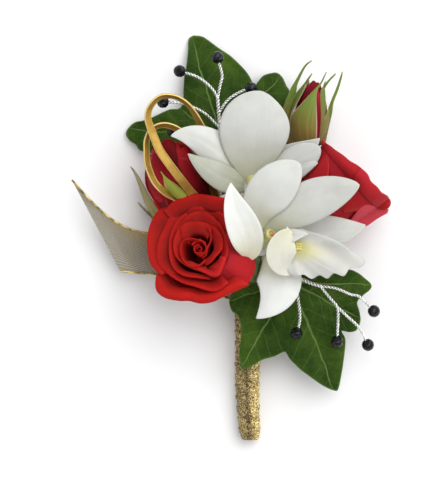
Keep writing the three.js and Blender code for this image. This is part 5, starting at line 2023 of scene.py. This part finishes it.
@dataclass
class IvyLeaf:
    """A lobed ivy leaf on its stalk."""

    node: str
    base: Point
    outline: Outline
    veins: Outline
    relief: float
    fall: Pair
    swell: Point
    stalk: Path
    stalk_radii: Pair = (0.9, 0.6)
    rings: int = 56
    around: int = 260

    def height(self, x: Array, y: Array) -> Array:
        """The leaf's level at x and y, measured from its base.

        The leaf falls with the square of the distance, swells in slow waves, and is pressed in
        along each main vein, where the bearing from the base is that vein's.

        Args:
            x: distance to the right of the base.
            y: distance above it on the page.

        Returns:
            The level of the leaf's middle surface.
        """
        away = np.hypot(x, y)
        bearing = np.arctan2(y, x)
        angles = np.array([angle for angle, _ in self.veins])
        gaps = np.abs((bearing[..., None] - angles + math.pi) % (2.0 * math.pi) - math.pi)
        ridge = self.relief * np.tanh(away * gaps.min(axis=-1) / 3.0)
        waves = self.swell[0] * np.sin(self.swell[1] * x + self.swell[2] * y)
        fine = 0.12 * np.sin(1.3 * x + 0.4 * y) * np.sin(1.1 * y - 0.5 * x) * np.clip(away / 8.0, 0.0, 1.0)
        return self.base[2] + ridge - self.fall[0] * x * x - self.fall[1] * y * y + waves + fine

    def build(self, groups: Groups) -> None:
        """Builds the leaf from rings about its base out to its outline, and its stalk."""
        base = np.array(self.base[:2])
        share = np.linspace(0.004, 1.0, self.rings)[:, None, None]
        spot = share * (closed_edge(self.outline, self.around) - base)[None]
        level = self.height(spot[..., 0], spot[..., 1])
        middle = np.concatenate([spot + base, level[..., None]], axis=-1)
        inner = np.clip((1.0 - share) * self.rings / 2.0, 0.0, 1.0)
        half = 0.5 * LEAF_THICKNESS * (0.35 + 0.65 * inner) * UP
        mesh = MeshBuilder(self.node + "_blade")
        mesh.fan(middle + half, middle - half)
        path = even_path(self.stalk, 40)
        mesh.tube(path, np.linspace(*self.stalk_radii, len(path)), sides=10, tone=0.9)
        finish = LeafFinish(self.node + " green", self.base[:2], self.veins)
        mesh.build(finish.make(groups), self.node, "ivy_green")


UPPER_LEAF = IvyLeaf(
    node="ivy_leaf_upper", base=(-3.6, 30.2, 5.6),
    outline=(
        (-12.7, 63.5), (-14.2, 62.3), (-14.4, 58.5), (-14.9, 53.7), (-15.5, 50.6), (-15.8, 45.8),
        (-15.9, 42.6), (-17.2, 40.3), (-20.3, 40.0), (-25.1, 37.8), (-28.3, 36.6), (-31.4, 35.9),
        (-33.9, 33.1), (-33.0, 30.6), (-30.8, 29.0), (-29.2, 27.1), (-23.5, 26.2), (-15.6, 27.2),
        (-9.3, 28.2), (-3.6, 28.7), (1.9, 28.9), (9.0, 31.3), (14.7, 34.9), (17.9, 40.0), (17.5, 45.7),
        (16.6, 47.3), (15.3, 50.1), (13.6, 51.6), (11.4, 51.4), (9.2, 50.6), (7.7, 48.9), (6.3, 47.1),
        (5.7, 48.9), (4.2, 51.5), (2.0, 54.0), (-1.2, 57.0), (-4.6, 59.3), (-7.5, 61.5), (-9.9, 63.1),
    ),
    veins=((1.85, 33.0), (3.0, 30.0), (0.85, 27.0), (2.5, 16.0)),
    relief=0.8, fall=(0.0048, 0.0043), swell=(0.35, 0.25, 0.2),
    stalk=((1.2, -4.0, 6.0), (-0.6, 10.0, 4.4), (-2.6, 24.0, 4.6), (-3.6, 31.0, 5.4)),
)
LOWER_LEAF = IvyLeaf(
    node="ivy_leaf_lower", base=(17.6, -13.9, 11.4),
    outline=(
        (16.4, -12.4), (8.6, -14.0), (1.9, -15.6), (-0.9, -17.8), (-1.5, -20.3), (-0.6, -23.1), (1.2, -24.6),
        (2.2, -28.7), (1.9, -33.3), (1.6, -37.4), (2.8, -41.1), (5.0, -40.5), (8.7, -38.3), (12.7, -37.1),
        (15.8, -35.8), (17.4, -38.0), (20.5, -41.1), (24.2, -43.9), (28.2, -46.6), (31.3, -47.9),
        (32.6, -47.3), (33.8, -41.1), (34.4, -36.4), (34.7, -31.8), (33.5, -29.3), (36.0, -29.6),
        (38.1, -29.0), (39.4, -26.2), (39.1, -23.1), (38.4, -20.3), (40.3, -18.1), (42.5, -16.3),
        (42.8, -14.7), (40.9, -12.9), (38.4, -11.0), (35.4, -10.0), (28.2, -9.6), (20.5, -11.0),
    ),
    veins=((-1.19, 37.0), (-2.09, 31.0), (-0.49, 24.0), (-0.05, 25.0), (-2.85, 20.0)),
    relief=0.9, fall=(0.0022, 0.0022), swell=(0.4, 0.22, -0.2),
    stalk=((5.4, -17.5, 6.0), (9.0, -15.4, 8.6), (13.0, -14.2, 10.6), (17.6, -13.9, 11.4)),
)


# Made pieces


@dataclass
class WireSpray:
    """A spray of twisted wire: each stretch is two thin wires wound round each other."""

    node: str
    trunk: Path
    twigs: tuple[Path, ...]
    pitch: float = 2.1
    offset: float = 0.36
    wire: float = 0.27
    twig_size: float = 0.78

    def twisted(self, mesh: MeshBuilder, points: Path, size: float) -> None:
        """Adds one stretch: two helices about the smooth curve through points.

        Args:
            mesh: the mesh that they go into.
            points: what the curve passes through.
            size: the size of the twist and of its wires, 1 for a trunk.
        """
        length = path_length(points)
        count = max(int(length * 5), 12)
        path = even_path(points, count)
        tangent = unit(np.gradient(path, axis=0))
        side = transported(tangent)
        other = np.cross(tangent, side)
        turn = np.linspace(0.0, 2.0 * math.pi * length / self.pitch, count)
        for start in (0.0, math.pi):
            helix = path + self.offset * size * round_circle(turn + start, side, other)
            mesh.tube(helix, self.wire * size, sides=7)

    def build(self) -> None:
        """Builds all the stretches as one piece."""
        mesh = MeshBuilder(self.node + "_twist")
        self.twisted(mesh, self.trunk, 1.0)
        for points in self.twigs:
            self.twisted(mesh, points, self.twig_size)
        mesh.build(SILVER_WIRE.make(), self.node, "silver_wire")


UPPER_SPRAY = WireSpray(
    "upper_spray_wire",
    trunk=(
        (3.2, -13.0, 6.5), (2.0, -2.0, 8.0), (-1.0, 12.0, 10.5), (-4.0, 28.0, 12.5), (-4.6, 36.4, 12.5),
        (-5.1, 43.5, 12.5),
    ),
    twigs=(
        (
            (-5.1, 43.2, 12.5), (-6.5, 45.7, 12.5), (-9.0, 48.2, 12.5), (-12.1, 50.1, 12.0),
            (-16.9, 51.6, 12.0),
        ),
        ((-5.1, 43.2, 12.5), (-4.3, 47.2, 13.0), (-3.7, 50.3, 13.0), (-5.1, 55.8, 13.0)),
        (
            (-4.6, 34.0, 12.5), (-8.4, 37.9, 12.5), (-12.1, 40.1, 12.5), (-16.8, 41.7, 12.0),
            (-22.1, 42.0, 12.0),
        ),
        ((-4.8, 38.5, 12.5), (-1.9, 42.6, 12.0), (1.9, 45.1, 12.0), (5.3, 46.3, 12.0)),
        ((-4.4, 32.0, 12.5), (-10.5, 34.1, 14.0), (-15.2, 33.5, 15.0), (-18.9, 32.9, 15.0)),
    ),
)
LOWER_SPRAY = WireSpray(
    "lower_spray_wire",
    trunk=(
        (6.0, -15.0, 6.4), (10.6, -12.1, 8.0), (14.9, -9.6, 13.5), (19.2, -12.1, 16.5), (23.5, -14.2, 17.0),
        (26.9, -15.2, 17.0),
    ),
    twigs=(
        (
            (26.7, -15.2, 17.0), (31.2, -15.8, 17.0), (35.9, -17.7, 16.0), (39.0, -18.6, 15.5),
            (43.4, -23.0, 14.0),
        ),
        (
            (26.7, -15.2, 17.0), (29.7, -18.9, 17.0), (31.9, -21.7, 16.5), (32.2, -25.7, 16.0),
            (31.9, -32.5, 15.0),
        ),
        ((31.8, -21.5, 16.5), (35.3, -24.8, 16.0), (38.8, -28.2, 15.0), (41.6, -33.5, 13.0)),
        (
            (16.0, -10.6, 14.6), (19.0, -15.4, 16.6), (20.1, -21.1, 16.5), (20.4, -25.7, 15.5),
            (19.4, -29.8, 15.0),
        ),
    ),
)


@dataclass
class Beads:
    """The beads at the wires' ends: for each one its middle and a point further along its wire."""

    places: dict[str, tuple[Point, Point]]
    radius: float = 1.95
    rows: int = 7
    around: int = 12
    pole: float = 0.12

    def build(self) -> None:
        """Builds each bead as a cut ball: rings of facets that are staggered from row to row."""
        material = BeadFinish().make()
        level = np.linspace(self.pole, math.pi - self.pole, self.rows)
        stagger = (np.arange(self.rows) % 2)[:, None] * math.pi / self.around
        angle = np.linspace(0.0, 2.0 * math.pi, self.around, endpoint=False)[None, :] + stagger
        radius = (self.radius * np.sin(level))[:, None, None]
        for name, (middle, towards) in self.places.items():
            across, third, axis = axis_frame(middle, towards)
            rings = np.array(middle) + radius * round_circle(angle, across, third)
            mesh = MeshBuilder(name + "_facets")
            mesh.rings(rings - (self.radius * np.cos(level))[:, None, None] * axis)
            mesh.build(material, name, "black_bead", flat=True)


BEADS = Beads(
    {
        "upper_bead_1": ((-16.9, 51.6, 12.0), (-20.0, 52.5, 12.0)),
        "upper_bead_2": ((-5.1, 55.8, 13.0), (-5.9, 59.0, 13.0)),
        "upper_bead_3": ((-22.1, 42.0, 12.0), (-26.0, 42.0, 12.0)),
        "upper_bead_4": ((5.3, 46.3, 12.0), (8.0, 47.0, 12.0)),
        "upper_bead_5": ((-18.9, 32.9, 15.0), (-22.0, 32.4, 15.0)),
        "lower_bead_1": ((43.4, -23.0, 14.0), (45.0, -25.0, 13.6)),
        "lower_bead_2": ((31.9, -32.5, 15.0), (31.8, -34.0, 14.8)),
        "lower_bead_3": ((41.6, -33.5, 13.0), (42.6, -35.5, 12.6)),
        "lower_bead_4": ((19.4, -29.8, 15.0), (19.0, -32.0, 14.8)),
    },
)


@dataclass
class GoldLoop:
    """A flat strap bent into a loop, with a raised wire along each edge."""

    node: str
    path: Path
    turns: tuple[float, ...]
    width: float = 2.6
    thickness: float = 0.24
    edge: float = 0.2
    groove: float = 0.02

    def section(self) -> Array:
        """The strap's section: flat with fine grooves, and a round wire along each edge.

        Returns:
            Places across the strap and above its middle, running round it.
        """
        across = np.linspace(-1.0, 1.0, 25)
        wire = self.edge * np.exp(-(((np.abs(across) - 0.9) / 0.08) ** 2))
        lift = 0.5 * self.thickness + wire + self.groove * np.cos(20.0 * across)
        upper = np.stack([across * 0.5 * self.width, lift], axis=1)
        return np.concatenate([upper * (1.0, -1.0), upper[::-1]])

    def build(self) -> None:
        """Carries the section along the path.

        Its broad side faces up the page's normal and is turned about the path by the degrees in
        turns, which are spread evenly along the path.
        """
        path = even_path(self.path, int(path_length(self.path) * 2.5))
        tangent = unit(np.gradient(path, axis=0))
        side = unit(np.cross(UP, tangent))
        turn = spline(np.array(self.turns)[:, None], np.linspace(0.0, 1.0, len(path)))
        side, normal = turned_pair(side, np.cross(tangent, side), np.radians(turn))
        across, lift = self.section().T[:, None, :, None]
        mesh = MeshBuilder(self.node + "_strap")
        mesh.rings(path[:, None] + across * side[:, None] + lift * normal[:, None])
        mesh.build(StrapFinish().make(), self.node, "gold_strap")


LOOPS = (
    GoldLoop(
        "gold_loop_outer",
        (
            (-2.6, 4.6, 8.4), (-5.4, 6.6, 10.5), (-8.4, 8.6, 12.4), (-11.6, 12.0, 16.4), (-13.9, 14.6, 19.4),
            (-16.4, 17.7, 23.0), (-18.8, 20.8, 24.0), (-21.0, 23.8, 24.4), (-23.0, 26.8, 24.5),
            (-24.3, 29.9, 24.4), (-25.6, 33.4, 24.0), (-26.5, 36.6, 23.0), (-25.9, 39.7, 22.0),
            (-23.7, 42.5, 21.0), (-21.0, 43.5, 20.0), (-17.3, 42.9, 19.0), (-14.2, 40.8, 18.0),
            (-12.1, 38.0, 17.0), (-9.9, 34.0, 16.0), (-5.9, 26.0, 13.0), (-2.6, 14.0, 10.0),
            (-0.6, 4.0, 8.2),
        ),
        turns=(0.0, 0.0, 0.0, 8.0, 30.0, 62.0, 66.0, 42.0, 36.0, 30.0, 20.0),
    ),
    GoldLoop(
        "gold_loop_inner",
        (
            (-4.2, 4.6, 8.0), (-8.6, 7.0, 10.0), (-11.4, 8.6, 12.6), (-13.6, 9.6, 11.6), (-16.2, 11.0, 14.0),
            (-18.6, 12.2, 17.2), (-20.9, 13.4, 20.4), (-22.8, 15.0, 22.8), (-24.4, 16.9, 23.0),
            (-25.5, 19.1, 23.0), (-26.3, 21.3, 23.0), (-26.8, 23.7, 22.8), (-26.9, 26.8, 22.4),
            (-26.9, 29.4, 22.0), (-26.0, 32.0, 21.5), (-24.1, 33.9, 21.0), (-21.3, 34.5, 20.5),
            (-18.2, 33.6, 20.0), (-15.4, 31.5, 19.5), (-13.0, 28.4, 18.5), (-11.1, 25.0, 16.5),
            (-7.4, 18.0, 13.0), (-4.0, 7.0, 9.4),
        ),
        turns=(0.0, 20.0, 46.0, 50.0, 50.0, 62.0, 46.0, 40.0, 30.0, 20.0),
    ),
)


@dataclass
class RibbonTail:
    """The sheer ribbon tail, cut on the slant, with a thick gold thread along each edge."""

    upper: Path = (
        (-3.4, -9.6, 0.6), (-10.0, -3.4, 1.4), (-18.0, 0.6, 5.0), (-26.2, 1.2, 7.6), (-32.4, 2.5, 8.6),
        (-38.7, 6.0, 9.0), (-44.9, 11.6, 9.6), (-50.5, 17.8, 10.0),
    )
    lower: Path = (
        (0.6, -20.0, 0.6), (-6.0, -17.8, 0.6), (-13.0, -14.8, 1.6), (-20.0, -12.4, 3.8), (-25.0, -11.6, 5.0),
        (-28.6, -11.4, 5.4), (-32.0, -11.0, 5.8), (-35.6, -10.6, 6.0),
    )
    flat: Pair = (0.0155, 0.056)
    wave: float = 0.6
    thread: float = 0.34

    def surface(self, rows: int, columns: int) -> Array:
        """The ribbon between its two edges, with slow waves across it.

        Args:
            rows: samples along it.
            columns: samples across it.

        Returns:
            A grid of points.
        """
        u = np.linspace(0.0, 1.0, rows)
        v = np.linspace(0.0, 1.0, columns)[None, :, None]
        low = spline(np.array(self.lower), u)[:, None]
        high = spline(np.array(self.upper), u)[:, None]
        grid = low * (1.0 - v) + high * v
        v = v[..., 0]
        grid[..., 2] += self.wave * np.sin(9.0 * u[:, None] + 2.0 * v) * np.sin(math.pi * v)
        return grid

    def build(self, groups: Groups) -> None:
        """Builds the weave as a sheet with its two edge threads."""
        grid = self.surface(rows=110, columns=34)
        mesh = MeshBuilder("ribbon_weave")
        mesh.sheet(grid, RIBBON_THICKNESS)
        weave = mesh.build(MeshFinish().make(groups), "ribbon_tail", "mesh_ribbon")
        threads = MeshBuilder("ribbon_edge_threads")
        for edge in (grid[:, 0], grid[:, -1]):
            threads.tube(edge, self.thread)
        border = threads.build(EDGE_THREAD.make(), "", "mesh_ribbon")

    @staticmethod
    def area(grid: Array) -> float:
        """Returns the area of a grid of points."""
        a = grid[1:, 1:] - grid[:-1, :-1]
        b = grid[1:, :-1] - grid[:-1, 1:]
        return 0.5 * float(np.linalg.norm(np.cross(a, b), axis=-1).sum())


@dataclass
class WrappedHandle:
    """The stems' handle: two stems side by side under a glitter ribbon wound on a slant."""

    bottom: float = -63.6
    top: float = -21.0
    lean: Pair = (4.95, 3.8)
    half_width: float = 3.6
    half_height: float = 3.1
    pitch: float = 3.4
    ridge: float = 0.42
    # Painted light: how light the handle is drawn, and below it the painted shade on its two end caps.
    light: float = 1.16
    end_painted_shade: float = 0.7

    def build(self, groups: Groups) -> None:
        """Builds the wrap as rings along the handle, flat underneath where it rests.

        A ring is an oval with a groove over the gap between the two stems. Its size grows by a
        ridge that rises slowly and drops at each turn of the ribbon, which winds round as it
        goes up.
        """
        u = np.linspace(0.0, 1.0, 220)[:, None]
        angle = np.linspace(0.0, 2.0 * math.pi, 56, endpoint=False)[None, :]
        y = mix(self.bottom, self.top, u)
        x = mix(*self.lean, u) + 0.25 * np.sin(0.16 * y)
        turn = (y / self.pitch + 0.45 * np.cos(angle)) % 1.0
        ridge = self.ridge * (turn**1.5 - 0.6) + 0.1 * np.sin(2.1 * y + 3.0 * angle) * np.sin(0.9 * y)
        between, above = np.cos(angle) + 0.1, np.sin(angle) > 0
        groove = 1.0 - 0.24 * np.exp(-((between / 0.2) ** 2)) * above
        taper = 1.0 - 0.3 * np.exp(-u * 55.0) - 0.1 * np.exp(-u * 12.0)
        width = (self.half_width + 0.35 * smoothstep(0.1, 0.6, u) + ridge) * taper
        height = (self.half_height - 0.15 + ridge) * taper * groove
        z = np.maximum(self.half_height + height * np.sin(angle), 0.0)
        rings = np.stack(np.broadcast_arrays(x + width * np.cos(angle), y, z), axis=-1)
        # Painted light and shade: lighter on the right side, towards the key light, and painted shade in the
        # groove between the two stems.
        shade = self.light + 0.5 * np.cos(angle) - 0.62 * np.exp(-((between / 0.3) ** 2)) * above
        tone = np.broadcast_to(shade, z.shape)[:, ::-1].ravel()
        mesh = MeshBuilder("wrapped_handle")
        mesh.rings(rings[:, ::-1], np.concatenate([tone, [self.end_painted_shade] * 2]))
        mesh.build(GlitterFinish().make(groups), "stem_wrap", "gold_wrap")


@dataclass
class TapedStems:
    """The taped bundle inside the wrap and its branches to the blooms."""

    bundle: Path = ((4.8, -60.0, 3.1), (4.4, -45.0, 3.1), (4.3, -30.0, 3.6), (4.3, -18.0, 4.9))
    branches: tuple[Path, ...] = (
        ((4.3, -22.0, 4.4), (0.5, -17.0, 3.2), (-3.6, -13.6, 2.6), (-5.4, -11.6, 4.2), (-6.1, -10.6, 6.4)),
        ((4.3, -21.0, 4.6), (0.0, -13.0, 3.4), (-6.0, -6.0, 2.6), (-10.3, -2.6, 4.6), (-11.9, 2.0, 6.2)),
        ((4.3, -19.0, 4.8), (8.0, -10.0, 5.0), (14.0, -3.0, 7.0), (18.7, 1.6, 9.1), (20.6, 3.5, 9.7)),
        ((5.6, -14.0, 5.0), (9.0, -2.0, 6.0), (15.0, 12.0, 7.4), (20.0, 21.5, 9.3), (21.6, 26.8, 10.2)),
        ((4.3, -18.0, 4.9), (5.0, -6.0, 7.0), (5.2, 6.0, 9.6), (5.4, 13.0, 13.4), (5.8, 15.4, 16.4)),
        ((4.3, -19.0, 4.9), (5.6, -14.5, 9.0), (6.4, -9.6, 15.4), (7.6, -4.6, 20.4)),
    )
    bundle_radius: float = 2.1
    branch_radius: float = 1.05

    def build(self) -> None:
        """Builds the bundle and its branches as one piece."""
        mesh = MeshBuilder("stems_in_tape")
        mesh.tube(even_path(self.bundle, 60), self.bundle_radius, sides=16)
        for branch in self.branches:
            mesh.tube(even_path(branch, 44), self.branch_radius, sides=12)
        mesh.build(FLORAL_TAPE.make(), "taped_stems", "tape_green")


@dataclass
class Studio:
    """The pale floor, the soft lights and the camera."""

    half_floor: float = 3.0
    floor_colour: Colour = (0.91, 0.91, 0.915)
    side_light: float = 1.05
    top_light: float = 0.36
    key_place: Point = (0.32, 0.34, 0.72)
    key_side: float = 0.9
    key_power: float = 6.6
    film_width: float = 36.0

    def build(self) -> None:
        """Makes the floor, the lights, the world and the camera."""
        mesh = bpy.data.meshes.new("floor")
        signs = ((-1, -1), (1, -1), (1, 1), (-1, 1))
        corners = [(x * self.half_floor, y * self.half_floor, 0.0) for x, y in signs]
        mesh.from_pydata(corners, [], [(0, 1, 2, 3)])
        floor = bpy.data.objects.new("floor", mesh)
        bpy.context.scene.collection.objects.link(floor)
        tree, bsdf, material = Finish(roughness=0.9, specular=0.1).shader("Pale floor")
        tree.feed(bsdf.inputs["Base Color"], self.floor_colour)
        mesh.materials.append(material)
        self.key_light()
        self.sky()
        bpy.context.scene.view_settings.view_transform = "Standard"
        self.camera()

    def sky(self) -> None:
        """Makes the studio's surroundings: bright to the sides and dim overhead, round the camera."""
        world = bpy.data.worlds.new("studio")
        world.use_nodes = True
        tree = Tree(world.node_tree)
        background = world.node_tree.nodes["Background"]
        direction = tree.node("TexCoord")
        upwards = tree.split(direction.outputs["Generated"])[2]
        above = tree.ramp(upwards, 0.55, 0.95, self.side_light, self.top_light)
        low = tree.ramp(upwards, 0.0, 0.4, 0.5, 1.0)
        tree.feed(background.inputs["Strength"], tree.times(above, low))
        tree.feed(background.inputs["Color"], (1.0, 1.0, 1.0))
        bpy.context.scene.world = world

    def key_light(self) -> None:
        """Adds a square area light that faces the bunch."""
        data = bpy.data.lights.new("key", "AREA")
        data.size = self.key_side
        data.energy = self.key_power
        lamp = bpy.data.objects.new("key", data)
        lamp.location = self.key_place
        lamp.rotation_mode = "QUATERNION"
        lamp.rotation_quaternion = (-lamp.location).to_track_quat("-Z", "Y")
        bpy.context.scene.collection.objects.link(lamp)

    def camera(self) -> None:
        """Adds the camera straight above the middle of the picture."""
        data = bpy.data.cameras.new("camera")
        data.sensor_width = self.film_width
        data.lens = self.film_width * (CAMERA_HEIGHT - FOCUS_LEVEL) / PICTURE_HEIGHT
        data.clip_start, data.clip_end = 0.01, 20.0
        camera = bpy.data.objects.new("camera", data)
        camera.location = placed(np.array([*CAMERA_MIDDLE, CAMERA_HEIGHT])).tolist()
        bpy.context.scene.collection.objects.link(camera)
        bpy.context.scene.camera = camera


def write_sizes() -> None:
    """Updates the view layer."""
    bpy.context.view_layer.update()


def main() -> None:
    """Builds every piece in order."""
    logging.basicConfig(level=logging.INFO, format="%(name)s: %(message)s")
    groups = Groups(petal_tone_group(), vein_group(), sparkle_group(), weave_group())
    Studio().build()
    roses, orchids = (OPEN_ROSE, SIDE_ROSE, RIGHT_ROSE), (UPPER_ORCHID, LOWER_ORCHID)
    for grown in (UPPER_LEAF, LOWER_LEAF, *roses, *CALYXES, SmallBud(), *orchids, OrchidLip()):
        grown.build(groups)
    for piece in (UPPER_SPRAY, LOWER_SPRAY, BEADS, *LOOPS):
        piece.build()
    RibbonTail().build(groups)
    WrappedHandle().build(groups)
    TapedStems().build()
    write_sizes()


if __name__ == "__main__":
    main()
